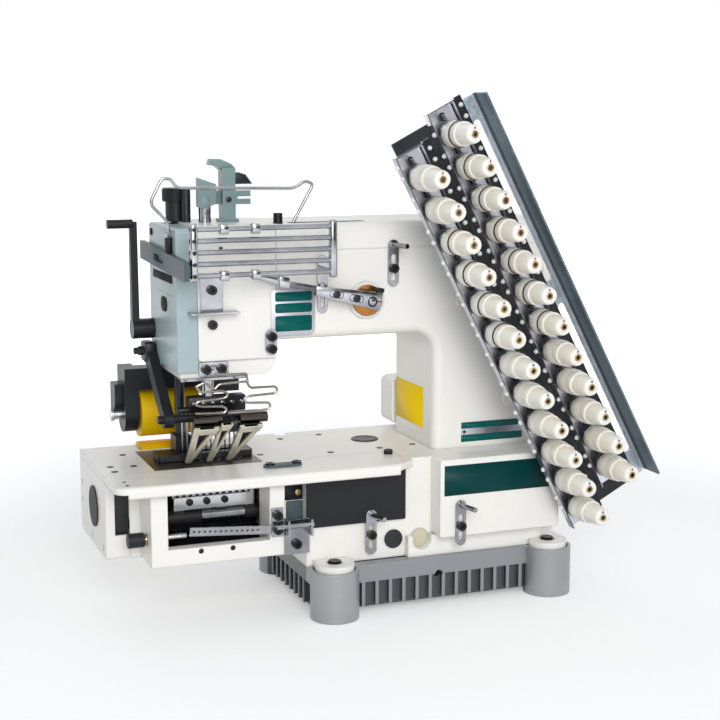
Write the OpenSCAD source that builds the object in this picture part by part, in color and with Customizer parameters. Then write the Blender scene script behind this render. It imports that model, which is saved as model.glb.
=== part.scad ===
// Multi-needle chain-stitch sewing machine head: oil base, bed, arm and head, rear puller,
// tape guides and a sloping stand with two rows of thread tension knobs.
// Origin: centre of the four-leg bolt pattern on the table. X runs along the bed to the
// handwheel end, Y to the back, Z up. Millimetres.

/* [Base] */
// Distance between leg centres along the bed
leg_span_x = 232; // [216:1:250]
// Distance between leg centres front to back
leg_span_y = 168; // [160:1:180]
// Outer diameter of a leg
leg_d = 48; // [46:1:54]
// Height of the base's rim above the table
base_h = 49; // [44:1:54]
// Wall thickness of the base
base_wall = 6; // [4:0.5:8]
// Height of the plain band round the rim
band_h = 18; // [12:1:22]
// Gap between the table and the wall's lower edge
skirt_gap = 5; // [3:1:8]
// Distance from rib to rib
rib_pitch = 14.3; // [11:0.1:18]
// Width of a rib
rib_w = 3.5; // [2:0.5:5]
// How far a rib stands out from the wall
rib_out = 5; // [3:0.5:7]
// Diameter of the bolt holes in the legs
bolt_hole_d = 9; // [7:0.5:11]

/* [Bed] */
// Height of the bed's top above the table
bed_top = 148.5; // [140:0.5:158]
// Distance from the left leg centres to the bed's left end
bed_overhang = 213; // [205:1:230]
// Distance from the centre line to the bed's front edge
bed_front = 92; // [88:1:100]
// Distance from the centre line to the bed's back
bed_back = 87; // [84:1:94]
// Thickness of the deck and of the front cover
deck_t = 6.5; // [5:0.5:8]
// Height of the overhang's underside above the table
overhang_z = 67; // [62:1:70]
// Width of the needle plate along the bed
plate_w = 107; // [104:1:112]
// Depth of the needle plate front to back
plate_l = 88; // [84:1:90]
// Thickness of the needle plate
plate_t = 4; // [3:0.5:5]
// Width of the end cover along the bed
cap_w = 23; // [18:1:28]

/* [Arm] */
// Distance from the centre line to the arm's front face
arm_front = 45; // [42:1:50]
// Distance from the centre line to the arm's back face
arm_back = 62; // [58:1:66]
// Height of the arm's underside above the table
arm_low = 269; // [262:1:276]
// Height of the joint under the arm's top cover
arm_seam = 355; // [350:1:360]
// Height of the arm's top above the table
arm_top = 381; // [374:1:390]
// Width of the column along the bed
column_w = 120; // [112:1:122]
// Radius of the throat's upper corner
throat_r = 20; // [12:1:28]
// Height of the head's underside above the table
head_low = 237; // [233:1:242]
// Width of the head along the bed
head_w = 98; // [96:1:104]

/* [Needle bar and feet] */
// Diameter of the needle bar
needle_bar_d = 12; // [10:0.5:14]
// Number of needles
needles = 12; // [4:1:12]
// Distance from needle to needle
needle_gauge = 4.8; // [4:0.1:5.6]
// Diameter of a needle
needle_d = 1.8; // [1.4:0.1:2.2]
// Diameter of the presser bar
presser_bar_d = 10; // [8:0.5:12]
// Width of the presser foot along the bed
foot_w = 96; // [90:1:100]
// Diameter of the pressure knob
pressure_knob_d = 25; // [22:1:28]

/* [Puller] */
// Diameter of the upper roller
roller_d = 48; // [44:1:52]
// Diameter of the lower roller
lower_roller_d = 44; // [40:1:46]
// Length of both rollers
roller_l = 61; // [54:1:64]
// Diameter of the roller axles
axle_d = 10; // [8:0.5:12]

/* [Tension stand] */
// Slope of the stand away from upright, in degrees
stand_tilt = 27.8; // [24:0.2:30]
// Number of knobs in a row
knobs = 12; // [12:1:12]
// Distance from knob to knob
knob_pitch = 33.85; // [31:0.05:36]
// Diameter of a knob's collar
knob_d = 25; // [23:0.5:28]
// Length of a knob
knob_l = 48; // [44:1:54]
// Width of a rail
rail_w = 31; // [29:0.5:34]
// Diameter of a knob's post
post_d = 6; // [5:0.5:7]
// Diameter of the handwheel
handwheel_d = 100; // [84:1:110]

/* [Hidden] */
$fn = 48;
// Running clearance round a shaft, on the radius
run_gap = 0.05;
// Gap between pieces that pass or rest on each other
seat_gap = 0.3;
// Extra length of a cutting tool past the face that it cuts
past = 1;

// Colours
white = [0.94, 0.93, 0.90];
base_grey = [0.53, 0.55, 0.56];
face_green = [0.52, 0.62, 0.63];
steel = [0.75, 0.75, 0.76];
dark = [0.15, 0.16, 0.17];
iron = [0.36, 0.38, 0.40];
amber = [0.80, 0.62, 0.30];
yellow = [0.88, 0.65, 0.05];
cream = [0.92, 0.90, 0.86];
zinc = [0.62, 0.65, 0.68];

// Base
half_x = leg_span_x / 2;
half_y = leg_span_y / 2;
side_x = half_x + leg_d / 2 - 3;
cup_floor = 22;
cup_d = leg_d - 6;
cushion_top = cup_floor + 8;
lug_d = cup_d - 3;
lug_top = base_h + 6;
bolt_recess_d = 15;
bolt_recess = 4;
lug_bolt_d = 8;
notch_d = 8;
notch_x = -5;

// Bed
bed_left = -half_x - bed_overhang;
bed_right = half_x + 8;
deck_low = bed_top - deck_t;
seam_y = -33;
cap_right = bed_left + cap_w;
cap_front = -38;
arch_x = cap_right + 11;
arch_w = 16;
window_x0 = arch_x + arch_w;
window_x1 = window_x0 + 99;
window_post_w = 15;
post_x1 = window_x1 + 26;
rail_front = -80;
rail_t = 12;
rail_top = overhang_z + 16;
wall_front = -70;
niche_z = 88;
niche_back = -56;
rail_holes = [window_x0 + 31.4, window_x0 + 62.3];
rail_hole_z = 79;
wall_x0 = post_x1 + 14;
panel_x1 = post_x1 + 118;
cover_x0 = panel_x1 + 28;
cover_low = 70;
lip_front = -78;
bay_x0 = cap_right + 6;
bay_x1 = post_x1 - 6;
bay_y1 = 58;
bay_floor = overhang_z + 5;
end_holes = [[78, 117], [78, 99], [30, 76], [-25, 76]];
cap_plug_y = 16;
cap_plug_z = 107;
cap_plug_d = 40;
wall_plug_x = -49;
wall_plug_z = 68;
wall_plug_d = 19;
sight_x = -21;
sight_z = 66;
sight_d = 20;
deck_holes = [[bed_left + 35, 45], [bed_left + 35, -6], [bed_left + 13, -2], [bed_left + 13, -23],
  [post_x1 + 30, 60], [post_x1 + 75, 66]];
strip_x0 = window_x0 + 20;
strip_w = 8;
strip_tilt = 4;
// The strip meets its end plate in a butt joint
strip_l = (window_x1 + 1 - run_gap - strip_x0 - strip_w * sin(strip_tilt)) / cos(strip_tilt);
strip_holes = [[bed_left + 13, -66], [bed_left + 13, -80], [bed_left + 36, -62], [bed_left + 61, -59]];

// Needle plate and what works through it
plate_x0 = bed_left + 50;
plate_y0 = seam_y + 0.2;
ledge = 4;
needle_y = 9;
needle_x = -half_x - 99;
row_w = (needles - 1) * needle_gauge;
slot_w = row_w + 8;
foot_gap = seat_gap;
tooth_top = bed_top + seat_gap;
foot_low = tooth_top + foot_gap;
foot_t = 6;
foot_front = needle_y - 13;
foot_back = needle_y + 15;
presser_x = needle_x - 23;
presser_y = needle_y + 23;
feed_stroke = 2.5;
row_l = 8;
feed_rows = 4;
feed_row_w = 8;
feed_bar_w = 14;
feed_bar_z = deck_low - 16;

// Arm and head
column_x0 = bed_right + 1 - column_w;
column_x1 = bed_right + 1;
head_x1 = needle_x + 55;
face_x0 = head_x1 - head_w;
face_t = 3;
face_x1 = face_x0 + 20;
face_top = arm_top - 2;
face_top_t = 2;
head_x0 = face_x0 + face_t + 0.2;
top_cover_x0 = head_x1;
cover_t = 4;
post_top = arm_top + 52;
head_seam = head_low + 16;
comb_x0 = needle_x - 32.5;
comb_l = 47;
comb_z = 299;
edge_r = 9;
shaft_y = needle_y;
shaft_z = 318;
shaft_d = 16;
lever_y = 52;
lever_z = 274;
lever_shaft_d = 10;
takeup_x = -69;
takeup_z = 305;
takeup_shaft_d = 12;
takeup_boss_d = 36;

// Rear puller
roller_y = 85;
roller_x0 = needle_x - 54;
lower_z = bed_top + 3.5 - lower_roller_d / 2;
roller_nip = 6;
upper_z = lower_z + (lower_roller_d + roller_d) / 2 + roller_nip;
hinge_y = 78;
hinge_z = head_low + 9;
hinge_d = 10;
hinge_lug_x0 = needle_x - 7;
hinge_lug_w = 20;
housing_w = 14;
housing_x1 = roller_x0 - 2 - seat_gap;
housing_x0 = housing_x1 - housing_w;
housing_d = 36;
bridge_z0 = upper_z + roller_d / 2 + 3;
bridge_z1 = head_low - 6;
bridge_x1 = hinge_lug_x0 + 56;
bridge_end_z = bridge_z0 - 7;
bay_wall = 8;

// Tape guide arm
swing_y = 50;
swing_z = 250;
swing_d = 8;
bar_y = -22;
bar_z = 195;
guide_bar_d = 8;
tape_x = [needle_x - 29, needle_x - 7, needle_x + 13];
chute_l = 44;
chute_h = 5;
chute_slope = 49;
chute_lean = 16;
chute_tip_y = -14;
chute_tip_z = bed_top + 1.5;
holder_low = chute_tip_z + chute_l * sin(chute_slope) + seat_gap;
holder_top = bar_z - 1;
holder_bar_y = bar_y - 22;
holder_bar_z = bar_z + 1;
holder_bar_d = 10;
chute_mouths = [21, 13, 21];
chute_tip_w = 6;
pocket_part = 0.52;
chute_floor = 1.5;

// Loopers and adjusting shaft
looper_y = -30;
looper_z = 100;
looper_shaft_d = 14;
adjust_y = -60;
adjust_z = 90;
adjust_d = 6;

// Tension stand, in its own sloping frame with the first left knob at the origin
knob_x = -42.5;
knob_z = 426;
row_shift_w = 46.3;
row_shift_v = 20.8;
sheet_t = 2;
stand_plate_t = 2.5;
plate_front = -108;
plate_back = plate_front + stand_plate_t;
plate_w0 = -8;
plate_w1 = 62;
plate_v1 = 38;
plate_v0 = -(knobs - 1) * knob_pitch - 15;
rail_w0 = -14;
flange_w1 = 27;
rail_v1 = 27;
rail_v0 = -(knobs - 1) * knob_pitch - 20;
rail_lip = 7.5;
knob_back = plate_front - 2 - rail_lip - 1;
disc_t = 2;
collar_l = 12;
shoulder_l = 22;
knob_y0 = knob_back - disc_t - seat_gap;
angle_w0 = 46;
angle_w1 = 90;
angle_lip = 26;
angle_v1 = 41;
angle_v0 = plate_v0;
standoff_d = 14;
standoff_v = [-150, -264];
standoff_w = 15;

// Thread rack
rack_y = -86;
rack_x0 = face_x0 + 3;
rack_x1 = rack_x0 + 141;
rack_low = 333;
rack_h = 54;
rack_bar_w = 7;
rack_rods = 5;
rack_rod_d = 5;
rack_rod_pitch = 10.6;
clamp_t = 5;
clamp_low = 335;
clamp_h = 18;
clamp_l = 178;
clamp_slope = 2;
bail_y = -30;
bail_d = 2.2;
bail_points = [[face_x0 - 2.5, clamp_low + clamp_h - 4], [face_x0 - 2.5, arm_top + 3],
  [face_x0 - 20, arm_top + 21], [face_x0 - 8, arm_top + 44], [face_x0, arm_top + 44],
  [face_x0 + 6, arm_top + 35], [face_x0 + 122, arm_top + 33], [face_x0 + 132, arm_top + 40],
  [face_x0 + 141, arm_top + 37], [face_x0 + 120, arm_top]];

// Box between two corners
module span_box(a, b) {
  translate(a) cube(b - a);
}

// Round bar along X, Y or Z
module rod_x(x0, x1, y, z, d) {
  translate([x0, y, z]) rotate([0, 90, 0]) cylinder(d = d, h = x1 - x0);
}

module rod_y(y0, y1, x, z, d) {
  translate([x, y1, z]) rotate([90, 0, 0]) cylinder(d = d, h = y1 - y0);
}

module rod_z(z0, z1, x, y, d) {
  translate([x, y, z0]) cylinder(d = d, h = z1 - z0);
}

// Flat shape drawn in X and Z, pushed along Y
module along_y(y0, y1) {
  translate([0, y1, 0]) rotate([90, 0, 0]) linear_extrude(y1 - y0) children();
}

// Flat shape drawn in Y and Z, pushed along X
module along_x(x0, x1) {
  translate([x0, 0, 0]) rotate([90, 0, 90]) linear_extrude(x1 - x0) children();
}

// Flat rectangle with round corners, between two corners
module round_rect(a, b, r) {
  translate([a.x + r, a.y]) square([b.x - a.x - 2 * r, b.y - a.y]);
  translate([a.x, a.y + r]) square([b.x - a.x, b.y - a.y - 2 * r]);
  for (x = [a.x + r, b.x - r], y = [a.y + r, b.y - r])
    translate([x, y]) circle(r);
}

// Flat slot with round ends, standing on its lower centre
module slot_shape(x, z0, z1, w) {
  translate([x - w / 2, z0 + w / 2]) square([w, z1 - z0 - w]);
  for (z = [z0 + w / 2, z1 - w / 2]) translate([x, z]) circle(d = w);
}

// Corner left over when a round edge is cut, filling the quarter at +a and +b
module edge_waste(r) {
  difference() {
    translate([-past, -past]) square(r + past);
    translate([r, r]) circle(r);
  }
}

// Children at each of the four legs
module at_legs() {
  for (x = [-half_x, half_x], y = [-half_y, half_y]) translate([x, y, 0]) children();
}

// Wire through a list of points, each run a little longer than its step
module wire(points, d) {
  for (i = [0 : len(points) - 2]) {
    step = points[i + 1] - points[i];
    run = norm(step);
    translate(points[i]) rotate([0, acos(step.z / run), atan2(step.y, step.x)])
      translate([0, 0, -0.4 * d]) cylinder(d = d, h = run + 0.8 * d);
  }
}

// Flat line of even width through a list of points
module flat_wire(points, w) {
  for (i = [0 : len(points) - 2]) {
    step = points[i + 1] - points[i];
    translate(points[i]) rotate(atan2(step.y, step.x))
      translate([-0.4 * w, -w / 2]) square([norm(step) + 0.8 * w, w]);
  }
}

// Base

module base_walls() {
  wall_x = side_x - rib_out;
  wall_y = half_y - rib_out;
  ribs_x = floor((leg_span_x - leg_d - 8) / rib_pitch);
  ribs_y = floor((leg_span_y - leg_d - 8) / rib_pitch);
  band_low = base_h - band_h;
  difference() {
    union() {
      span_box([-side_x, -half_y, band_low], [side_x, half_y, base_h]);
      span_box([-wall_x, -wall_y, skirt_gap], [wall_x, wall_y, base_h]);
      for (i = [0 : ribs_x]) {
        x = (i - ribs_x / 2) * rib_pitch;
        span_box([x - rib_w / 2, -half_y, skirt_gap + 2], [x + rib_w / 2, half_y, base_h]);
      }
      for (i = [0 : ribs_y]) {
        y = (i - ribs_y / 2) * rib_pitch;
        span_box([-side_x, y - rib_w / 2, skirt_gap + 2], [side_x, y + rib_w / 2, base_h]);
      }
    }
    span_box([base_wall - wall_x, base_wall - wall_y, skirt_gap + base_wall / 2],
             [wall_x - base_wall, wall_y - base_wall, base_h + past]);
    rod_y(-half_y - past, half_y + past, notch_x, band_low, notch_d);
  }
}

module base_tray() {
  color(base_grey) difference() {
    union() {
      base_walls();
      at_legs() cylinder(d = leg_d, h = base_h);
    }
    at_legs() {
      translate([0, 0, cup_floor]) cylinder(d = cup_d, h = base_h);
      translate([0, 0, -past]) cylinder(d = bolt_hole_d, h = base_h);
    }
  }
}

module rubber_parts() {
  color(dark) {
    at_legs() difference() {
      translate([0, 0, cup_floor]) cylinder(d = cup_d - 1, h = cushion_top - cup_floor);
      translate([0, 0, cup_floor - past]) cylinder(d = bolt_hole_d + 3, h = base_h);
    }
    rod_x(bed_left - 1.5, bed_left, cap_plug_y, cap_plug_z, cap_plug_d);
    rod_y(wall_front - 1.5, wall_front, wall_plug_x, wall_plug_z, wall_plug_d);
  }
}

// Bed

// Casting before its spaces are cut out
module bed_blank() {
  span_box([cap_right, cap_front, overhang_z], [wall_x0, bed_back, deck_low]);
  span_box([bed_left, seam_y, deck_low], [panel_x1, bed_back, bed_top]);
  span_box([arch_x, rail_front, overhang_z], [window_x0, cap_front, deck_low]);
  span_box([window_x0, rail_front, overhang_z], [window_x1, rail_front + rail_t, rail_top]);
  span_box([window_x1, rail_front, overhang_z], [wall_x0, cap_front, deck_low]);
  span_box([wall_x0, wall_front, base_h], [panel_x1, bed_back, deck_low]);
  span_box([panel_x1, wall_front, base_h], [panel_x1 + 30, bed_back, bed_top]);
  linear_extrude_between(base_h, bed_top)
    round_rect([panel_x1 + 10, wall_front], [bed_right, bed_back], 6);
  span_box([panel_x1, lip_front, base_h], [bed_right, wall_front, cover_low]);
  // Bearings of the lower roller
  for (x = [roller_x0 - 4 - bay_wall, roller_x0 + roller_l + 4])
    span_box([x, bed_back - past, lower_z - axle_d], [x + bay_wall, roller_y + axle_d, deck_low]);
  at_legs() translate([0, 0, cushion_top]) cylinder(d = lug_d, h = lug_top - cushion_top);
  for (x = [-half_x, half_x])
    span_box([x - lug_d / 2 + 2, -half_y, base_h], [x + lug_d / 2 - 2, half_y, lug_top]);
}

module linear_extrude_between(z0, z1) {
  translate([0, 0, z0]) linear_extrude(z1 - z0) children();
}

module bed_casting() {
  color(white) {
    bed_body();
    // Bar under the seam between deck and front cover
    span_box([bay_x0 - past, cap_front - 2, deck_low - 6], [bay_x1 + past, seam_y + ledge, deck_low]);
    // Web that the feed bar slides on
    span_box([needle_x - 17, bay_y1 - 18, bay_floor - past],
             [needle_x + 17, bay_y1 - 8, feed_bar_z - seat_gap]);
  }
}

module bed_body() {
  difference() {
    bed_blank();
    // Looper space, open at the front window and to the needle plate
    span_box([bay_x0, cap_front + 6, bay_floor], [bay_x1, bay_y1, deck_low]);
    span_box([arch_x + 6, cap_front - 8, bay_floor], [bay_x1, bay_y1, deck_low]);
    span_box([window_x0, rail_front - past, rail_top], [window_x1, bay_y1, deck_low]);
    span_box([window_x0, rail_front + rail_t, bay_floor], [window_x1, bay_y1, deck_low]);
    // Niche between the window's post and the panel
    span_box([window_x1 + window_post_w, rail_front - past, niche_z],
             [wall_x0 + past, niche_back, deck_low + past]);
    // Holes in the rail
    for (x = rail_holes) rod_y(rail_front - past, rail_front + 6, x, rail_hole_z, 5);
    // Needle plate seat
    span_box([plate_x0 - 0.2, seam_y - past, bed_top - plate_t],
             [plate_x0 + plate_w + 0.2, plate_y0 + plate_l + 0.2, bed_top + past]);
    span_box([plate_x0 + ledge, seam_y + ledge, bay_floor],
             [plate_x0 + plate_w - ledge, plate_y0 + plate_l - ledge, bed_top + past]);
    // Lower roller space
    span_box([roller_x0 - 4, roller_y - lower_roller_d / 2 - 2, lower_z - lower_roller_d / 2 - 2],
             [roller_x0 + roller_l + 4, bed_back + past, bed_top + past]);
    rod_x(roller_x0 - 4 - bay_wall - past, roller_x0 + roller_l + 4 + bay_wall + past,
          roller_y, lower_z, axle_d + 2 * run_gap);
    // Looper shaft and adjusting shaft bearings
    rod_x(cap_right - past, post_x1, looper_y, looper_z, looper_shaft_d + 2 * run_gap);
    rod_x(arch_x - past, window_x0 + past, adjust_y, adjust_z, adjust_d + 2 * run_gap);
    // Bolt recesses in the lugs
    at_legs() {
      translate([0, 0, lug_top - bolt_recess]) cylinder(d = bolt_recess_d, h = bed_top);
      translate([0, 0, cushion_top - past]) cylinder(d = lug_bolt_d + 0.5, h = bed_top);
    }
    // Screw holes in the deck
    for (p = deck_holes) rod_z(bed_top - 4, bed_top + past, p.x, p.y, 6);
    // Oil sight recess
    rod_y(lip_front - past, lip_front + 14, sight_x, sight_z, sight_d);
  }
}

module bed_cover() {
  color(white) difference() {
    union() {
      linear_extrude_between(deck_low, bed_top) bed_cover_outline();
      along_x(bed_left + 12, cover_x0 - 42)
        round_rect([-bed_front, bed_top - 11], [-bed_front + 5, bed_top - 2], 2);
    }
    for (p = strip_holes) rod_z(bed_top - 3, bed_top + past, p.x, p.y, 4);
    // Round front edge
    along_x(bed_left - past, cover_x0) translate([-bed_front, bed_top]) mirror([0, 1]) edge_waste(4);
  }
}

module bed_cover_outline() {
  x1 = cover_x0 - 23;
  difference() {
    round_rect([bed_left, -bed_front], [x1, seam_y - 0.2], 0.5);
    translate([bed_left, -bed_front]) edge_waste(12);
    translate([x1 - 20, -bed_front - past]) rotate(40) translate([0, -20]) square([60, 20]);
    translate([panel_x1 - 0.3, wall_front - 0.3]) square([20, seam_y - wall_front + past]);
  }
}

module needle_plate() {
  color(iron) difference() {
    span_box([plate_x0, plate_y0, bed_top - plate_t], [plate_x0 + plate_w, plate_y0 + plate_l, bed_top]);
    span_box([needle_x - slot_w / 2, needle_y - 3, bed_top - plate_t - past],
             [needle_x + slot_w / 2, needle_y + 3, bed_top + past]);
    feed_boxes(row_l + 2 * feed_stroke + 2, feed_row_w + 1, bed_top - plate_t - past, bed_top + past);
  }
}

// Boxes at the feed rows in front of and behind the needles
module feed_boxes(l, w, z0, z1) {
  for (y = [needle_y - 12, needle_y + 13], i = [0 : feed_rows - 1]) {
    x = needle_x + (i - (feed_rows - 1) / 2) * row_w / (feed_rows - 1);
    span_box([x - w / 2, y - l / 2, z0], [x + w / 2, y + l / 2, z1]);
  }
}

module feed_dog() {
  frame_x = row_w / 2 + 14;
  frame_z0 = deck_low - 6;
  frame_z1 = deck_low - 0.5;
  color(steel) {
    difference() {
      span_box([needle_x - frame_x, needle_y - 17, frame_z0],
               [needle_x + frame_x, needle_y + 18, frame_z1]);
      span_box([needle_x - frame_x + 6, needle_y - 7, frame_z0 - past],
               [needle_x + frame_x - 6, needle_y + 8, frame_z1 + past]);
    }
    feed_boxes(row_l, feed_row_w, frame_z0, tooth_top);
    span_box([needle_x - feed_bar_w / 2, needle_y + 8, feed_bar_z],
             [needle_x + feed_bar_w / 2, bay_y1 - feed_stroke - 1, frame_z0]);
  }
}

// End cover: a cap with a front window and a plug hole
module end_cover() {
  z1 = deck_low;
  color(white) difference() {
    along_x_cap(0, bed_left, cap_right);
    along_x_cap(3, bed_left + 3, cap_right + past);
    span_box([bed_left + 9, cap_front - past, overhang_z + 23], [bed_left + 24, cap_front + 8, z1 - 12]);
    rod_x(bed_left - past, bed_left + 9, cap_plug_y, cap_plug_z, cap_plug_d - 6);
    for (p = end_holes) rod_x(bed_left - past, bed_left + 2, p.x, p.y, 6.5);
  }
}

module along_x_cap(inset, x0, x1) {
  along_x(x0, x1)
    round_rect([cap_front + inset, overhang_z + inset], [bed_back - inset, deck_low - inset], 3);
}

module bed_panel() {
  color(dark) along_y(wall_front - 3, wall_front)
    round_rect([wall_x0, rail_top + 5], [panel_x1 - 1, deck_low], 1);
}

module oil_sight() {
  color(amber) rod_y(lip_front + 10, lip_front + 14, sight_x, sight_z, sight_d);
}

// Arm, column and head

module arm_side() {
  translate([column_x0, bed_top]) square([column_w, arm_seam - bed_top]);
  translate([head_x1, arm_low]) square([column_x1 - head_x1, arm_seam - arm_low]);
  difference() {
    translate([column_x0 - throat_r, arm_low - throat_r]) square(throat_r);
    translate([column_x0 - throat_r, arm_low - throat_r]) circle(throat_r);
  }
}

module head_side() {
  difference() {
    translate([head_x0, head_low]) square([head_x1 - head_x0, arm_top - head_low]);
    translate([head_x1, head_low]) mirror([1, 0]) edge_waste(16);
    translate([head_x0 - past, face_top - face_top_t]) square([face_x1 + seat_gap - head_x0 + past, arm_top]);
  }
}

// Round front and back edges round the throat: column edge, corner and arm underside
module throat_edges() {
  for (side = [0, 1]) {
    y = side == 0 ? -arm_front : arm_back;
    translate([0, y, 0]) mirror([0, side, 0]) {
      translate([column_x0, 0, bed_top - past])
        linear_extrude(arm_low - throat_r - bed_top + past) edge_waste(edge_r);
      translate([head_x1, 0, arm_low]) rotate([90, 0, 90])
        linear_extrude(column_x0 - throat_r - head_x1) edge_waste(edge_r);
      translate([column_x0 - throat_r, 0, arm_low - throat_r]) rotate([-90, 0, 0]) rotate([0, 0, -90])
        rotate_extrude(angle = 90) translate([throat_r, 0]) edge_waste(edge_r);
    }
  }
}

module arm_casting() {
  color(white) difference() {
    union() {
      difference() {
        along_y(-arm_front, arm_back) arm_side();
        throat_edges();
      }
      along_y(cover_t - arm_front, arm_back) head_side();
      // Drive housing on the back of the column
      along_y(arm_back - past, arm_back + 30)
        round_rect([column_x0 - 2.5, bed_top + 6], [column_x0 + 50, bed_top + 56], 8);
      // Boss round the take-up shaft
      rod_y(-arm_front - 4, past - arm_front, takeup_x, takeup_z, takeup_boss_d);
      // Lug that carries the puller
      along_x(hinge_lug_x0, hinge_lug_x0 + hinge_lug_w) {
        translate([arm_back - past, hinge_z - 10]) square([hinge_y - arm_back + past, 20]);
        translate([hinge_y, hinge_z]) circle(10);
      }
    }
    rod_z(head_low - past, arm_top + past, needle_x, needle_y, needle_bar_d + 2 * run_gap);
    rod_z(head_low - past, arm_top + past, presser_x, presser_y, presser_bar_d + 2 * run_gap);
    rod_x(column_x1 - 32, column_x1 + past, shaft_y, shaft_z, shaft_d + 2 * run_gap);
    rod_x(head_x0 - past, head_x0 + 20, lever_y, lever_z, lever_shaft_d + 2 * run_gap);
    rod_x(head_x0 - past, head_x0 + 16, swing_y, swing_z, swing_d + 2 * run_gap);
    rod_y(-arm_front - 4 - past, -arm_front + 30, takeup_x, takeup_z, takeup_shaft_d + 2 * run_gap);
    rod_x(hinge_lug_x0 - past, hinge_lug_x0 + hinge_lug_w + past, hinge_y, hinge_z, hinge_d + 2 * run_gap);
  }
}

module arm_top_cover() {
  color(white) along_x(top_cover_x0, column_x1) difference() {
    translate([-arm_front, arm_seam]) square([arm_front + arm_back, arm_top - arm_seam]);
    translate([-arm_front, arm_top]) mirror([0, 1]) edge_waste(edge_r);
    translate([arm_back, arm_top]) rotate(180) edge_waste(edge_r);
  }
}

module head_cover() {
  color(white) along_y(-arm_front, cover_t - arm_front)
    round_rect([face_x1 + 0.3, head_seam], [head_x1 - seat_gap, arm_top - 4], 3);
}

module face_cover() {
  z0 = head_low + 6;
  z1 = face_top;
  color(face_green) difference() {
    along_x(face_x0, face_x1) difference() {
      translate([-arm_front, z0]) square([arm_front + arm_back, z1 - z0]);
      translate([-arm_front, z1]) mirror([0, 1]) edge_waste(5);
      translate([arm_back, z1]) rotate(180) edge_waste(5);
    }
    span_box([face_x0 + face_t, cover_t - arm_front, z0 - past],
             [face_x1 + past, arm_back + past, z1 - face_top_t]);
    rod_z(z1 - face_top_t - past, z1 + past, presser_x, presser_y, pressure_knob_d);
    along_y(-arm_front - past, arm_back + past) translate([face_x0, z1]) mirror([0, 1]) edge_waste(2.5);
    rod_x(face_x0 - past, face_x1, lever_y, lever_z, lever_shaft_d + 4);
    rod_x(face_x0 - past, face_x1, swing_y, swing_z, swing_d + 4);
    // Oval hand hole and shallow plate recess
    along_x(face_x0 - past, face_x0 + face_t + past) slot_shape(8, 283, 297, 7);
    along_x(face_x0 - past, face_x0 + 0.6) translate([-36, 315]) square([74, 14]);
  }
}

module column_cover() {
  color(white) difference() {
    along_y(-bed_front, wall_front) round_rect([cover_x0, cover_low], [bed_right, bed_top], 3);
    along_y(-bed_front + 3, wall_front + past)
      round_rect([cover_x0 + 3, cover_low + 3], [bed_right - 3, bed_top - 3], 2);
  }
}

// Thread rack, its clamp bar and the wire bail over the head

module thread_rack() {
  rod_z0 = rack_low + (rack_h - (rack_rods - 1) * rack_rod_pitch) / 2;
  color(steel) {
    for (x = [rack_x0, rack_x1 - rack_bar_w])
      along_x(x, x + rack_bar_w) round_rect([rack_y - 4, rack_low], [rack_y + 4, rack_low + rack_h], 3);
    for (i = [0 : rack_rods - 1])
      rod_x(rack_x0, rack_x1, rack_y, rod_z0 + i * rack_rod_pitch, rack_rod_d);
    for (i = [0, rack_rods - 1], x = [rack_x0 + 28, rack_x0 + 58])
      translate([x, rack_y - 5, rod_z0 + i * rack_rod_pitch - 5]) cube([8, 10, 9]);
    rod_y(rack_y, -arm_front - 2, rack_x1 - rack_bar_w / 2, rack_low + 5, 5);
    difference() {
      along_y(bail_y - bail_d / 2, bail_y + bail_d / 2) difference() {
        flat_wire(bail_points, bail_d);
        translate([face_x0 + 108, arm_top - 4]) square([20, 4]);
      }
      clamp_bar();
    }
  }
}

// Bar that rises a little from the rack to its back end
module clamp_bar() {
  along_x(face_x0 - clamp_t, face_x0) translate([rack_y - 9, clamp_low]) rotate(clamp_slope)
    square([clamp_l, clamp_h]);
}

module rack_clamp() {
  color(iron) {
    difference() {
      clamp_bar();
      along_x(face_x0 - clamp_t - past, face_x0 + past) translate([rack_y - 9, clamp_low]) rotate(clamp_slope)
        translate([0, clamp_h / 2]) rotate(-90) slot_shape(0, 80, 120, 7);
    }
    // Link to the rack's left bar
    span_box([face_x0 - past, rack_y - 3, clamp_low + 4], [rack_x0, rack_y + 3, clamp_low + clamp_h - 4]);
  }
}

// Post beside the needle bar: fingers in front, hood and stop behind
module thread_post() {
  x0 = needle_x + 16;
  x1 = x0 + 13;
  y0 = needle_y - 8;
  y1 = needle_y - 2;
  y2 = needle_y + 7;
  color(face_green) {
    along_y(y0, y2) {
      translate([x0 - 3, arm_top]) square([19, 3]);
      translate([x0, arm_top]) square([x1 - x0, post_top - arm_top]);
    }
    along_y(y0, y1) difference() {
      translate([x0, arm_top + 17]) square([28, 13]);
      translate([x1 + 2, arm_top + 22]) square([20, 2.5]);
    }
    along_y(y1 - past / 2, y2) {
      translate([x0 - 6.5, arm_top + 17]) square([8, 13]);
      translate([x0, post_top])
        polygon([[-12, 3], [-10, 8.5], [0, 8.2], [10, 4], [14, 0], [14, -3], [0, -3], [-5, 1.6]]);
      translate([x1, arm_top + 36])
        polygon([[-1, 0], [19, 0], [12, 9.5], [5, 11.5], [-1, 11.5]]);
    }
  }
}

// Needle bar, presser and lifter

module needle_bar() {
  clamp_z = bar_z - 1;
  clamp_x0 = needle_x - row_w / 2 - 5;
  clamp_x1 = needle_x + row_w / 2 + 10.5;
  color(steel) {
    rod_z(clamp_z + 6, arm_top + 20, needle_x, needle_y, needle_bar_d);
    span_box([clamp_x0, needle_y - 7, clamp_z], [clamp_x1, needle_y + 7, clamp_z + 16]);
    for (i = [0 : needles - 1]) {
      x = needle_x + (i - (needles - 1) / 2) * needle_gauge;
      rod_z(bed_top + 7, clamp_z, x, needle_y, needle_d);
      translate([x, needle_y, bed_top + 2]) cylinder(d1 = 0.4, d2 = needle_d, h = 5);
    }
  }
}

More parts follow.
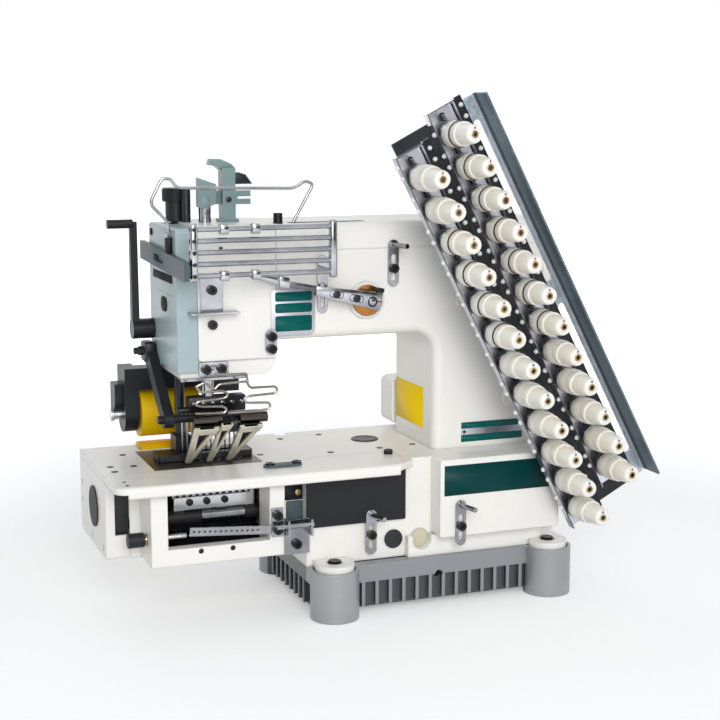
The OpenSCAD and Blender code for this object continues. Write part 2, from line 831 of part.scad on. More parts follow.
module needle_bracket() {
  z0 = arm_top + 16;
  color(face_green) difference() {
    union() {
      rod_z(z0, z0 + 9, needle_x, needle_y, needle_bar_d + 4);
      along_y(needle_y - 7, needle_y - 3) polygon([[needle_x - 9, z0 + 27], [needle_x + 10, z0 + 20.5],
        [needle_x + 10, z0 + 1.5], [needle_x + 4, z0], [needle_x + 2, z0 - 3.4], [needle_x - 9, z0 - 1]]);
    }
    rod_z(z0 - past - 8, arm_top + 20, needle_x, needle_y, needle_bar_d);
  }
}

module presser_foot() {
  bar_low = foot_low + foot_t;
  color(iron) {
    rod_z(bar_low, arm_top - 19, presser_x, presser_y, presser_bar_d);
    difference() {
      union() {
        linear_extrude_between(foot_low, foot_low + foot_t)
          round_rect([needle_x - foot_w / 2 - 6, foot_front], [needle_x + foot_w / 2 - 6, foot_back], 4);
        span_box([presser_x - 8, foot_back - 6, foot_low], [presser_x + 8, presser_y + 8, foot_low + 20]);
      }
      span_box([needle_x - slot_w / 2, needle_y - 4, foot_low - past],
               [needle_x + slot_w / 2, needle_y + 4, foot_low + 30]);
    }
  }
}

module pressure_knob() {
  z0 = arm_top + seat_gap;
  color(dark) {
    rod_z(z0 - 8, z0, presser_x, presser_y, presser_bar_d);
    rod_z(z0, z0 + 19, presser_x, presser_y, pressure_knob_d - 5);
    rod_z(z0 + 19, z0 + 32, presser_x, presser_y, pressure_knob_d);
  }
}

module lifter_lever() {
  x0 = face_x0 - 22;
  color(dark) {
    rod_x(x0, face_x0 - seat_gap, lever_y, lever_z, 20);
    rod_x(face_x0 - seat_gap, head_x0 + 18, lever_y, lever_z, lever_shaft_d);
    along_x(x0, x0 + 7) polygon([[lever_y - 6, lever_z], [lever_y + 6, lever_z],
      [lever_y + 3, lever_z + 106], [lever_y - 3, lever_z + 106]]);
    rod_x(x0 - 22, x0 + 3, lever_y, lever_z + 104, 9);
  }
}

// Rear puller

module puller_arm() {
  boss_d = hinge_d + 12;
  lug_x1 = hinge_lug_x0 + hinge_lug_w;
  color(dark) difference() {
    union() {
      // Housing beside the roller, round at its foot
      along_x(housing_x0, housing_x1) {
        translate([roller_y, upper_z]) circle(d = housing_d);
        translate([roller_y - housing_d / 2, upper_z]) square([housing_d, bridge_z1 - upper_z]);
      }
      // Drive cover on the housing's outer side
      along_x(housing_x0 - 8, housing_x0 + past)
        polygon([[roller_y - 6, upper_z + 32], [roller_y + 16, upper_z + 32], [roller_y + 16, upper_z - 4],
          [roller_y + 4, upper_z - 4], [roller_y - 6, upper_z + 12]]);
      // Bridge over the roller
      span_box([housing_x0, roller_y - housing_d / 2, bridge_z0], [bridge_x1, roller_y + 5, bridge_z1]);
      span_box([roller_x0 + roller_l + 4, roller_y - housing_d / 2, bridge_end_z],
               [bridge_x1, roller_y + 5, bridge_z1]);
      // Hinge ears on both sides of the head's lug
      for (x = [[hinge_lug_x0 - 32, hinge_lug_x0 - seat_gap], [lug_x1 + seat_gap, bridge_x1]]) {
        rod_x(x[0], x[1], hinge_y, hinge_z, boss_d);
        span_box([x[0], hinge_y - 9, bridge_z1 - past], [x[1], hinge_y + 9, hinge_z]);
      }
      rod_x(hinge_lug_x0 - past, lug_x1 + past, hinge_y, hinge_z, hinge_d);
    }
    rod_x(housing_x0 - 9, housing_x1 + past, roller_y, upper_z, axle_d + 2 * run_gap);
  }
}

module upper_roller() {
  color(yellow) {
    rod_x(roller_x0, roller_x0 + roller_l, roller_y, upper_z, roller_d);
    rod_x(housing_x0 - 9, roller_x0 + past, roller_y, upper_z, axle_d);
    rod_x(housing_x0 - 12, housing_x0 - 8 - seat_gap, roller_y, upper_z, axle_d + 3);
  }
}

module lower_roller() {
  color(yellow) {
    rod_x(roller_x0, roller_x0 + roller_l, roller_y, lower_z, lower_roller_d);
    rod_x(roller_x0 - 10, roller_x0 + roller_l + 10, roller_y, lower_z, axle_d);
  }
}

// Tape guides on their swing arm

module guide_arm() {
  x0 = face_x0 - 10;
  x1 = face_x0 - seat_gap;
  color(dark) {
    along_x(x0, x1) {
      polygon([[swing_y - 8, swing_z + 6], [swing_y + 8, swing_z - 2],
        [bar_y + 6, bar_z - 4], [bar_y - 5, bar_z + 5]]);
      translate([swing_y, swing_z]) circle(10);
      translate([bar_y, bar_z]) circle(8);
    }
    rod_x(x1 - past, head_x0 + 14, swing_y, swing_z, swing_d);
    rod_x(x0 - 5, needle_x + row_w / 2 + 16, bar_y, bar_z, guide_bar_d);
    // Chute holders on the bar
    for (x = tape_x)
      span_box([x + chute_lean - 8, bar_y - 24, holder_low], [x + chute_lean + 8, bar_y + 2, holder_top]);
    // Round bars over the chute mouths
    for (x = [[tape_x[0], tape_x[0] + 28], [tape_x[2] + 4, tape_x[2] + 31]])
      rod_x(x[0], x[1], holder_bar_y, holder_bar_z, holder_bar_d);
  }
}

// Flat outline of a chute that narrows from its mouth to its tip, in the chute's own plane
module chute_outline(mouth_w, tip_w, lean) {
  polygon([[-tip_w / 2, 0], [tip_w / 2, 0], [lean + mouth_w / 2, chute_l], [lean - mouth_w / 2, chute_l]]);
}

// Pocket that folds the tape, narrowing to a point
module chute_pocket(w) {
  polygon([[chute_lean - w / 2, chute_l + past], [chute_lean + w / 2, chute_l + past],
    [0.4 * chute_lean, 0.42 * chute_l]]);
}

module tape_guides() {
  color(steel) difference() {
    for (i = [0 : 2])
      translate([tape_x[i], chute_tip_y, chute_tip_z]) rotate([180 - chute_slope, 0, 0]) difference() {
        linear_extrude(chute_h) chute_outline(chute_mouths[i], chute_tip_w, chute_lean);
        translate([0, 0, chute_floor]) linear_extrude(chute_h) {
          chute_pocket(pocket_part * chute_mouths[i]);
          translate([-1, -past]) square([2, 0.3 * chute_l]);
        }
      }
    // Tips cut level, clear of the needle plate
    span_box([tape_x[0] - 20, bar_y - 20, deck_low], [tape_x[2] + 20, needle_y, bed_top + 2 * seat_gap]);
  }
}

// Loopers, feed adjusting shaft and take-up

module looper_rocker() {
  holder_x0 = needle_x - row_w / 2 - 21;
  holder_x1 = needle_x + row_w / 2 + 7;
  color(steel) {
    rod_x(cap_right, post_x1 - 2, looper_y, looper_z, looper_shaft_d);
    span_box([holder_x0, looper_y - 6, looper_z + 8], [holder_x1, looper_y + 6, looper_z + 26]);
    for (x = [holder_x0, needle_x - 5, holder_x1 - 10])
      span_box([x, looper_y - 6, looper_z], [x + 10, looper_y + 6, looper_z + 9]);
    for (i = [0 : needles - 1]) {
      x = needle_x + (i - (needles - 1) / 2) * needle_gauge - 2;
      span_box([x - 0.8, looper_y, looper_z + 25], [x + 0.8, needle_y - 5, looper_z + 31]);
    }
  }
}

module adjust_knob() {
  x0 = arch_x - 18;
  color(dark) {
    rod_x(x0, x0 + 15, adjust_y, adjust_z, 14);
    rod_x(x0 + 14, window_x0 + 22, adjust_y, adjust_z, adjust_d);
  }
}

module take_up_lever() {
  y1 = -arm_front - 4 - seat_gap;
  color(steel) {
    rod_y(y1 - 18, y1, takeup_x, takeup_z, takeup_shaft_d);
    rod_y(y1, -arm_front + 28, takeup_x, takeup_z, takeup_shaft_d);
    rod_y(y1 - 3, y1, takeup_x, takeup_z, takeup_boss_d - 6);
    along_y(y1 - 15, y1 - 10) difference() {
      union() {
        translate([takeup_x, takeup_z]) circle(d = takeup_shaft_d + 6);
        polygon([[takeup_x + 4, takeup_z - 8], [takeup_x + 4, takeup_z + 9],
          [takeup_x - 92, takeup_z + 27], [takeup_x - 115, takeup_z + 31], [takeup_x - 115, takeup_z + 26],
          [takeup_x - 92, takeup_z + 16]]);
      }
      for (s = [-18, -40]) translate([takeup_x + s, takeup_z - s * 0.22]) rotate(77) slot_shape(0, -7, 7, 4.5);
    }
  }
}

module handwheel() {
  color(white) translate([column_x1, shaft_y, shaft_z]) rotate([0, 90, 0]) {
    translate([0, 0, -28]) cylinder(d = shaft_d, h = 34);
    translate([0, 0, 3]) rotate_extrude() handwheel_section();
  }
}

module handwheel_section() {
  r = handwheel_d / 2;
  square([14, 24]);
  translate([0, 8]) square([r - 6, 7]);
  translate([r - 9, 0]) round_rect([0, 0], [9, 22], 3);
}

// Tension stand

module stand_frame() {
  translate([knob_x, 0, knob_z]) rotate([0, -stand_tilt, 0]) children();
}

module in_rows() {
  for (row = [0, 1]) translate([row * row_shift_w, 0, row * row_shift_v]) children();
}

module tension_plate() {
  color(dark) stand_frame() {
    span_box([plate_w0, plate_front, plate_v0], [plate_w1, plate_back, plate_v1]);
    for (v = standoff_v) {
      rod_y(plate_back - past / 2, -arm_front, standoff_w, v, standoff_d);
      rod_y(-arm_front - 5, -arm_front, standoff_w, v, standoff_d + 12);
    }
  }
}

module tension_rails() {
  rail_back = plate_front;
  color(steel) stand_frame() in_rows() {
    span_box([rail_w0, rail_back - 2, rail_v0], [flange_w1, rail_back, rail_v1]);
    for (w = [rail_w0, rail_w0 + rail_w - 1.5])
      span_box([w, rail_back - 2 - rail_lip, rail_v0], [w + 1.5, rail_back, rail_v1]);
    span_box([rail_w0, rail_back - 2 - rail_lip, rail_v1 - 1.5], [rail_w0 + rail_w, rail_back, rail_v1]);
    for (i = [0 : knobs - 1]) {
      rod_y(knob_y0 - knob_l + 8, rail_back - past, 0, -i * knob_pitch, post_d);
      rod_y(knob_back - disc_t, knob_back, 0, -i * knob_pitch, knob_d);
    }
  }
}

module tension_angle() {
  color(zinc) stand_frame() difference() {
    union() {
      span_box([angle_w0, plate_back, angle_v0], [angle_w1, plate_back + sheet_t, angle_v1]);
      span_box([angle_w1 - sheet_t, plate_back - angle_lip, angle_v0],
               [angle_w1, plate_back + sheet_t, angle_v1]);
    }
    for (v = [18, -184])
      along_y(plate_back - past, plate_back + sheet_t + past) slot_shape(79, v - 176, v, 8);
  }
}

// One knob, standing on its tip end along -Y
module tension_knob(row, i) {
  color(cream) stand_frame()
    translate([row * row_shift_w, knob_y0, row * row_shift_v - i * knob_pitch])
      rotate([90, 0, 0]) rotate_extrude() knob_section();
}

module knob_section() {
  bore = post_d / 2 + run_gap;
  r = knob_d / 2;
  polygon([[bore, 0], [r - 0.6, 0], [r, 0.6], [r, collar_l - 0.5], [r - 0.6, collar_l], [r - 1.4, collar_l],
    [r - 1.4, collar_l + 1.6], [r - 0.8, collar_l + 1.8], [r - 0.8, shoulder_l - 0.4], [r - 1.2, shoulder_l],
    [r - 1.8, shoulder_l + 0.3], [r - 2.9, knob_l - 3], [r - 4.2, knob_l], [bore, knob_l]]);
}

// Slotted and drilled thread guide plates

module slotted_guide(x, y, z0, h) {
  along_y(y - 2, y) difference() {
    slot_shape(x, z0, z0 + h, 11);
    slot_shape(x, z0 + 5, z0 + h - 14, 5);
  }
  translate([x, y - 1, z0 + h - 5]) rotate([90, 0, 12]) cylinder(d = 5, h = 24);
}

module thread_guides() {
  color(steel) {
    // Plate and drilled bar on the head cover
    along_y(-arm_front - 2, -arm_front)
      round_rect([needle_x - 20.5, comb_z + 2], [needle_x + 1.5, comb_z + 34], 2);
    difference() {
      span_box([comb_x0, -arm_front - 14, comb_z], [comb_x0 + comb_l, -arm_front, comb_z + 2]);
      for (i = [0 : 9]) rod_z(comb_z - past, comb_z + 3, comb_x0 + 4 + i * 4.3, -arm_front - 10, 2.4);
    }
    // Foot plate under the head
    span_box([head_x0, -arm_front + 1, head_low - 2.5], [needle_x + 24, -20, head_low]);
    // Plate under the head seam
    along_y(-arm_front + 2, cover_t - arm_front)
      round_rect([face_x1 + 1, head_low + 1], [face_x1 + 30, head_seam - 1], 3);
    // Slotted plate at the head's right edge
    along_y(-arm_front - 2, -arm_front) difference() {
      slot_shape(-166, 256, 281, 12);
      slot_shape(-166, 261, 276, 5);
    }
    // Slotted plate that carries the rack's right end
    along_y(-arm_front - 2, -arm_front) difference() {
      slot_shape(rack_x1, 294, 350, 10);
      slot_shape(rack_x1, 299, 324, 4.5);
    }
    slotted_guide(-40, -arm_front, 317, 46);
    slotted_guide(-74, wall_front - 3, 56, 45);
    slotted_guide(14, -bed_front, 61, 46);
    // Drilled strip in front of the loopers
    along_y(rail_front - 2, rail_front) difference() {
      union() {
        translate([strip_x0, rail_top + 12]) rotate(-strip_tilt) square([strip_l, strip_w]);
        translate([window_x1 + 1, rail_top + 3]) square([12, 28]);
      }
      translate([strip_x0, rail_top + 12]) rotate(-strip_tilt)
        for (i = [0 : 12]) translate([4 + i * 5.2, strip_w / 2]) circle(d = 2.4);
    }
    // Forked guide with its cross pin
    along_y(rail_front - 2, rail_front) translate([post_x1 - 12, overhang_z]) square([25, 34]);
    for (x = [post_x1 - 12, post_x1 + 11])
      span_box([x, rail_front - 14, overhang_z + 20], [x + 2, rail_front, overhang_z + 36]);
    rod_x(post_x1 - 22, post_x1 + 15, rail_front - 9, overhang_z + 30, 5);
  }
}

// Fasteners

front_screws = [[needle_x - 9.5, -arm_front - 2, comb_z + 22], [needle_x - 9, -arm_front, 288],
  [-166, -arm_front - 2, 274], [-166, -arm_front - 2, 262], [-40, -arm_front - 2, 335],
  [-74, wall_front - 5, 76], [14, -bed_front - 2, 81],
  [face_x1 + 8, -arm_front + 2, head_low + 8], [face_x1 + 23, -arm_front + 2, head_low + 8],
  [window_x1 + 7, rail_front - 2, rail_top + 10], [window_x1 + 7, rail_front - 2, rail_top + 24],
  [post_x1, rail_front - 2, overhang_z + 10]];
top_screws = [[-172, -57, bed_top], [-145, -57, bed_top], [-44, -44, bed_top]];

module screw_head() {
  difference() {
    cylinder(d = 9, h = 4);
    translate([0, 0, 2]) cylinder(d = 4.6, h = 3, $fn = 6);
  }
}

module screws() {
  color(dark) {
    for (p = front_screws) translate(p) rotate([90, 0, 0]) screw_head();
    for (p = top_screws) translate(p) screw_head();
    at_legs() translate([0, 0, lug_top - bolt_recess]) {
      cylinder(d = 13, h = 6, $fn = 6);
      translate([0, 0, -18]) cylinder(d = lug_bolt_d, h = 18);
    }
    // Stud beside the pressure knob
    rod_z(arm_top, arm_top + 33, needle_x - 17, needle_y + 5, 8.5);
    // Clamp screw of the bail on the arm's top
    rod_z(arm_top, arm_top + 10, face_x0 + 103.5, bail_y - 4, 9);
  }
}

base_tray();
rubber_parts();
bed_casting();
bed_cover();
needle_plate();
end_cover();
bed_panel();
arm_casting();
arm_top_cover();
head_cover();
face_cover();
column_cover();
oil_sight();
thread_rack();
rack_clamp();
thread_post();
tension_plate();
tension_rails();
tension_angle();
thread_guides();
screws();
handwheel();
needle_bar();
needle_bracket();
presser_foot();
pressure_knob();
lifter_lever();
puller_arm();
upper_roller();
lower_roller();
guide_arm();
tape_guides();
looper_rocker();
adjust_knob();
feed_dog();
take_up_lever();
for (row = [0, 1], i = [0 : knobs - 1])
  tension_knob(row, i);
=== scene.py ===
"""Looks of the multi-needle sewing machine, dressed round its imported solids."""
import math

import bmesh
import bpy
from mathutils import Matrix, Vector


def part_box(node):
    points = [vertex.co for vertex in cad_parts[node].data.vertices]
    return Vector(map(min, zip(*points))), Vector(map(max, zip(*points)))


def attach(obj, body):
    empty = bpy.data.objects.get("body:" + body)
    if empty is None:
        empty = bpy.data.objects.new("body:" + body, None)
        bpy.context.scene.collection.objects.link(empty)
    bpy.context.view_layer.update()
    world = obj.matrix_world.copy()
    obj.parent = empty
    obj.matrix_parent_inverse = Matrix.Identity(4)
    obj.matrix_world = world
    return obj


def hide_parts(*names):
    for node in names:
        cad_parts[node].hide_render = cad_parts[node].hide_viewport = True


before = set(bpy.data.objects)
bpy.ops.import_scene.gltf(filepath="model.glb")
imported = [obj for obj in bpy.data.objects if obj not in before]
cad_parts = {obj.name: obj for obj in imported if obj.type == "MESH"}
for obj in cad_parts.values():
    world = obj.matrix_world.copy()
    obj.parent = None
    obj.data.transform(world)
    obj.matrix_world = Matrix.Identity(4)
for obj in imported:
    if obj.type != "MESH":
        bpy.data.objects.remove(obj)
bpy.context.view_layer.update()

# Shapes are made in millimetres and come down to metres in piece().
MM = 0.001
MACHINE = "machine"
CREASE = math.radians(35)


def corners(node):
    """Lowest and highest corner of a solid, in millimetres."""
    low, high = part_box(node)
    return low / MM, high / MM


# Shapes

# Turns a shape drawn in XY, growing along Z, so that it faces the front of the machine.
FACING_FRONT = Matrix.Rotation(math.radians(90), 4, "X")
FACING_LEFT = Matrix.Rotation(math.radians(-90), 4, "Z") @ FACING_FRONT
ALONG_X = Matrix.Rotation(math.radians(90), 4, "Y")


def at(x, y, z):
    return Matrix.Translation((x, y, z))


def placed(shape, matrix):
    bmesh.ops.transform(shape, matrix=matrix, verts=shape.verts)
    return shape


def on_front(shape, x, y, z):
    """Shape set on a face that looks to the front."""
    return placed(shape, at(x, y, z) @ FACING_FRONT)


def on_left(shape, x, y, z):
    """Shape set on a face that looks to the left."""
    return placed(shape, at(x, y, z) @ FACING_LEFT)


def lathe(profile, steps=32):
    """Body of revolution round Z from (radius, height) points."""
    shape = bmesh.new()
    verts = [shape.verts.new((r, 0, h)) for r, h in profile]
    edges = [shape.edges.new(pair) for pair in zip(verts, verts[1:])]
    bmesh.ops.spin(shape, geom=verts + edges, cent=(0, 0, 0), axis=(0, 0, 1),
                   angle=math.tau, steps=steps, use_merge=True)
    bmesh.ops.remove_doubles(shape, verts=shape.verts, dist=0.001)
    return shape


def ring(inner, outer, low, high, soft, steps):
    """Flat ring with softened rims."""
    return lathe([(inner, low), (outer - soft, low), (outer, low + soft), (outer, high - soft),
                  (outer - soft, high), (inner + soft, high), (inner, high - soft), (inner, low)], steps)


def rod(length, radius, soft=0.4, steps=24):
    """Round bar along Z with softened ends."""
    return lathe([(0, 0), (radius - soft, 0), (radius, soft), (radius, length - soft),
                  (radius - soft, length), (0, length)], steps)


def button(radius, height, soft=0.4):
    """Low round head standing on XY."""
    return lathe([(0, -0.2), (radius, -0.2), (radius, height - soft),
                  (radius - soft * 0.3, height - soft * 0.3), (radius - soft, height), (0, height)], 20)


def slab(outline, thickness, soft=0.4):
    """Plate from an outline in XY, with its front rim rounded over."""
    shape = bmesh.new()
    face = shape.faces.new([shape.verts.new((x, y, 0)) for x, y in outline])
    grown = bmesh.ops.extrude_face_region(shape, geom=[face])["geom"]
    top = [v for v in grown if isinstance(v, bmesh.types.BMVert)]
    bmesh.ops.translate(shape, verts=top, vec=(0, 0, thickness))
    if soft:
        rim = [e for e in shape.edges if all(v in top for v in e.verts)]
        bmesh.ops.bevel(shape, geom=rim, offset=soft, affect="EDGES", segments=2,
                        profile=0.5, material=-1)
    return shape


def round_corners(width, height, radius, steps=5):
    """Outline of a rectangle about the origin with round corners."""
    points = []
    for turn, (sx, sy) in enumerate([(1, 1), (-1, 1), (-1, -1), (1, -1)]):
        cx, cy = sx * (width / 2 - radius), sy * (height / 2 - radius)
        for k in range(steps + 1):
            a = math.radians(90 * turn + 90 * k / steps)
            points.append((cx + radius * math.cos(a), cy + radius * math.sin(a)))
    return points


def block(size, soft=0.6, segments=2):
    """Box about the origin with every edge rounded."""
    shape = bmesh.new()
    bmesh.ops.create_cube(shape, size=1.0, matrix=Matrix.Diagonal((*size, 1.0)))
    bmesh.ops.bevel(shape, geom=shape.edges[:], offset=soft, affect="EDGES", segments=segments,
                    profile=0.5, material=-1)
    return shape


def bent(points, radius, steps=4):
    """Path through points with each inner corner turned into a bend."""
    path = [Vector(points[0])]
    for before, corner, after in zip(points, points[1:], points[2:]):
        corner = Vector(corner)
        back, on = Vector(before) - corner, Vector(after) - corner
        reach = min(radius, back.length * 0.45, on.length * 0.45)
        start, end = corner + back.normalized() * reach, corner + on.normalized() * reach
        for k in range(steps + 1):
            t = k / steps
            path.append(start * (1 - t) ** 2 + corner * 2 * t * (1 - t) + end * t ** 2)
    path.append(Vector(points[-1]))
    return path


def loop_edges(loop):
    """Edges between the points of a loop, each once."""
    return list(dict.fromkeys(e for v in loop for e in v.link_edges if e.other_vert(v) in loop))


def wire(path, radius, sides=10):
    """Round wire swept along a path."""
    shape = bmesh.new()
    ways = [(b - a).normalized() for a, b in zip(path, path[1:])]
    turn = Vector((0, 0, 1)).rotation_difference(ways[0])
    place = Matrix.Translation(path[0]) @ turn.to_matrix().to_4x4()
    loop = bmesh.ops.create_circle(shape, segments=sides, radius=radius, cap_ends=True,
                                   matrix=place)["verts"]
    for k in range(1, len(path)):
        at_end = k == len(path) - 1
        way = ways[k - 1] if at_end else (ways[k - 1] + ways[k]).normalized()
        turn = (turn @ Vector((0, 0, 1))).rotation_difference(way) @ turn
        step = Matrix.Translation(path[k]) @ turn.to_matrix().to_4x4()
        grown = bmesh.ops.extrude_edge_only(shape, edges=loop_edges(loop))["geom"]
        loop = [g for g in grown if isinstance(g, bmesh.types.BMVert)]
        bmesh.ops.transform(shape, matrix=step @ place.inverted(), verts=loop)
        place = step
    bmesh.ops.contextual_create(shape, geom=loop_edges(loop))
    return shape


def pour(shape, whole):
    """Moves the mesh of a shape into a whole."""
    part = bpy.data.meshes.new("part")
    shape.to_mesh(part)
    shape.free()
    whole.from_mesh(part)
    bpy.data.meshes.remove(part)


def joined(shapes):
    """Several shapes of one finish as one."""
    whole = bmesh.new()
    for shape in shapes:
        pour(shape, whole)
    return whole


def piece(name, body, parts):
    """One object from (shape, finish) parts, that rides on a body."""
    mesh = bpy.data.meshes.new(name)
    whole = bmesh.new()
    for index, (shape, finish) in enumerate(parts):
        bmesh.ops.recalc_face_normals(shape, faces=shape.faces)
        for face in shape.faces:
            face.material_index = index
            face.smooth = True
        pour(shape, whole)
        mesh.materials.append(finish)
    bmesh.ops.scale(whole, vec=(MM, MM, MM), verts=whole.verts)
    whole.to_mesh(mesh)
    whole.free()
    mesh.set_sharp_from_angle(angle=CREASE)
    made = bpy.data.objects.new(name, mesh)
    bpy.context.scene.collection.objects.link(made)
    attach(made, body)
    return made


def trim(name, shapes, finish, body=MACHINE):
    """A piece with a single finish."""
    piece(name, body, [(joined(shapes), finish)])


# Finishes

def screen(r, g, b):
    """Linear colour of 0-255 screen values."""
    def linear(c):
        c /= 255
        return c / 12.92 if c <= 0.04045 else ((c + 0.055) / 1.055) ** 2.4
    return linear(r), linear(g), linear(b), 1.0


def darker(colour, share):
    """A colour with only a share of its light."""
    return tuple(c * share for c in colour[:3]) + (1.0,)


class Finish:
    """A node material under construction, with Object coordinates in metres."""

    def __init__(self, name, **sockets):
        self.material = bpy.data.materials.new(name)
        self.material.use_nodes = True
        self.tree = self.material.node_tree
        self.shader = self.tree.nodes["Principled BSDF"]
        for socket, value in sockets.items():
            label = socket.replace("_", " ").title().replace("Ior", "IOR")
            self.shader.inputs[label].default_value = value
        self.place = self.add("ShaderNodeTexCoord").outputs["Object"]

    def add(self, kind, links=None, **values):
        node = self.tree.nodes.new(kind)
        for key, value in values.items():
            setattr(node, key, value)
        for socket, source in (links or {}).items():
            if isinstance(source, bpy.types.NodeSocket):
                self.tree.links.new(source, node.inputs[socket])
            else:
                node.inputs[socket].default_value = source
        return node

    def noise(self, scale, detail=4.0, stretch=None):
        place = self.place
        if stretch:
            place = self.add("ShaderNodeMapping", {"Vector": place, "Scale": stretch}).outputs["Vector"]
        return self.add("ShaderNodeTexNoise", {"Vector": place, "Scale": scale, "Detail": detail,
                                               "Roughness": 0.55}).outputs["Fac"]

    def ramp(self, fac, low, high, start=0.0, end=1.0):
        """Grey value that goes from low to high while fac goes from start to end."""
        return self.add("ShaderNodeMapRange", {"Value": fac, "From Min": start, "From Max": end,
                                               "To Min": low, "To Max": high}).outputs["Result"]

    def mix(self, fac, a, b):
        return self.add("ShaderNodeMix", {0: fac, 6: a, 7: b}, data_type="RGBA").outputs[2]

    def clouds(self, scale, detail, a, b, end=0.70):
        """Colour that drifts from a to b in soft clouds."""
        return self.mix(self.ramp(self.noise(scale, detail), 0.0, 1.0, 0.35, end), a, b)

    def maths(self, operation, a, b):
        return self.add("ShaderNodeMath", {0: a, 1: b}, operation=operation).outputs[0]

    def vector_maths(self, operation, a, b, output):
        return self.add("ShaderNodeVectorMath", {0: a, 1: b}, operation=operation).outputs[output]

    def inside(self, value, low, high):
        """One while a value in metres is inside a span in millimetres, and nought outside."""
        return self.maths("MULTIPLY", self.maths("GREATER_THAN", value, low * MM),
                          self.maths("LESS_THAN", value, high * MM))

    def between(self, axis, low, high):
        """One inside a span of an axis, given in millimetres, and nought outside."""
        return self.inside(self.add("ShaderNodeSeparateXYZ", {0: self.place}).outputs[axis], low, high)

    def across(self, origin, way, low, high):
        """One inside a span of millimetres along a way from an origin, and nought outside."""
        offset = self.vector_maths("SUBTRACT", self.place, tuple(c * MM for c in origin), "Vector")
        return self.inside(self.vector_maths("DOT_PRODUCT", offset, way, "Value"), low, high)

    def soft_edges(self, radius):
        """Normal that rounds sharp edges over this many millimetres."""
        return self.add("ShaderNodeBevel", {"Radius": radius * MM}, samples=6).outputs["Normal"]

    def worn_edges(self, radius):
        """One along sharp edges, nought on the flats."""
        plain = self.add("ShaderNodeNewGeometry").outputs["Normal"]
        dot = self.vector_maths("DOT_PRODUCT", self.soft_edges(radius), plain, "Value")
        return self.ramp(dot, 1.0, 0.0, 0.80, 0.99)

    def corners_dark(self, reach):
        """One in the open, less in narrow corners."""
        return self.add("ShaderNodeAmbientOcclusion", {"Distance": reach * MM}, samples=6).outputs["AO"]

    def bump(self, height, strength, depth, normal):
        return self.add("ShaderNodeBump", {"Height": height, "Strength": strength, "Distance": depth * MM,
                                           "Normal": normal}).outputs["Normal"]

    def finish(self, colour, roughness, normal, metallic=None):
        links = {"Base Color": colour, "Roughness": roughness, "Normal": normal, "Metallic": metallic}
        for socket, source in links.items():
            if source is not None:
                self.tree.links.new(source, self.shader.inputs[socket])
        return self.material


def enamel(name, colour, shade, edge, gloss=(0.28, 0.40), peel=0.05, edge_r=1.2, corner_shade=0.55, gleam=0.5,
           reach=6.0, deep=0.45):
    """Sprayed enamel: faint orange peel, soft edges that show a little wear, and painted shade darkening the
    corners.
    """
    f = Finish(name, coat_weight=0.4 * gleam, coat_roughness=0.12, specular_ior_level=gleam)
    tint = f.clouds(9.0, 3.0, colour, shade, 0.75)
    patches = f.ramp(f.noise(160.0, 5.0), 0.0, 0.7, 0.45, 0.62)
    tint = f.mix(f.maths("MULTIPLY", f.worn_edges(edge_r * 0.6), patches), tint, edge)
    # Painted shade: ambient occlusion darkens narrow corners towards a darker copy of the shade colour.
    corner_shade_mask = f.ramp(f.corners_dark(reach), corner_shade, 0.0, 0.15, 0.75)
    tint = f.mix(corner_shade_mask, tint, darker(shade, deep))
    normal = f.bump(f.noise(650.0, 2.0), peel, 0.15, f.soft_edges(edge_r))
    return f.finish(tint, f.ramp(f.noise(45.0), *gloss), normal)


def ink(name, colour, shade, edge, gloss=(0.3, 0.4), gleam=0.12):
    """Printed field: a flat enamel with little shine."""
    return enamel(name, colour, shade, edge, gloss=gloss, peel=0.02, gleam=gleam)


def bright_metal(name, colour, shade, gloss=(0.10, 0.24), grain=None, metal=1.0):
    """Polished or ground metal; grain stretches the fine marks along an axis."""
    f = Finish(name, metallic=metal)
    marks = f.noise(900.0, 3.0, stretch=grain) if grain else f.noise(140.0, 5.0)
    tint = f.clouds(28.0, 4.0, colour, shade)
    # Painted shade: ambient occlusion darkens narrow corners.
    tint = f.mix(f.ramp(f.corners_dark(4.0), 0.55, 0.0, 0.15, 0.7), tint, darker(shade, 0.25))
    normal = f.bump(marks, 0.05, 0.05, f.soft_edges(0.5))
    return f.finish(tint, f.ramp(marks, *gloss, 0.3, 0.7), normal)


def moulded(name, colour, shade, gloss=(0.30, 0.42), strength=0.06, corner=0.3, depth=0.0):
    """Moulded plastic or rubber with a fine grain, that light enters to a depth in millimetres."""
    f = Finish(name, specular_ior_level=0.45)
    if depth:
        for socket, value in (("Weight", 0.8), ("Scale", depth * MM), ("Radius", (1.0, 0.9, 0.75))):
            f.shader.inputs[f"Subsurface {socket}"].default_value = value
    tint = f.clouds(30.0, 4.0, colour, shade)
    # Painted shade: ambient occlusion darkens narrow corners, by the share given in corner.
    tint = f.mix(f.ramp(f.corners_dark(2.0), corner, 0.0, 0.1, 0.5), tint, darker(shade, 0.6))
    normal = f.bump(f.noise(500.0, 2.0), strength, 0.1, f.soft_edges(0.5))
    return f.finish(tint, f.ramp(f.noise(60.0), *gloss), normal)


WHITE = enamel("white_enamel", screen(240, 238, 232), screen(233, 232, 228), screen(205, 203, 198),
               edge_r=2.0)
GREEN = enamel("grey_green_enamel", screen(170, 188, 192), screen(160, 179, 183), screen(196, 208, 212),
               edge_r=1.5, gleam=0.3)
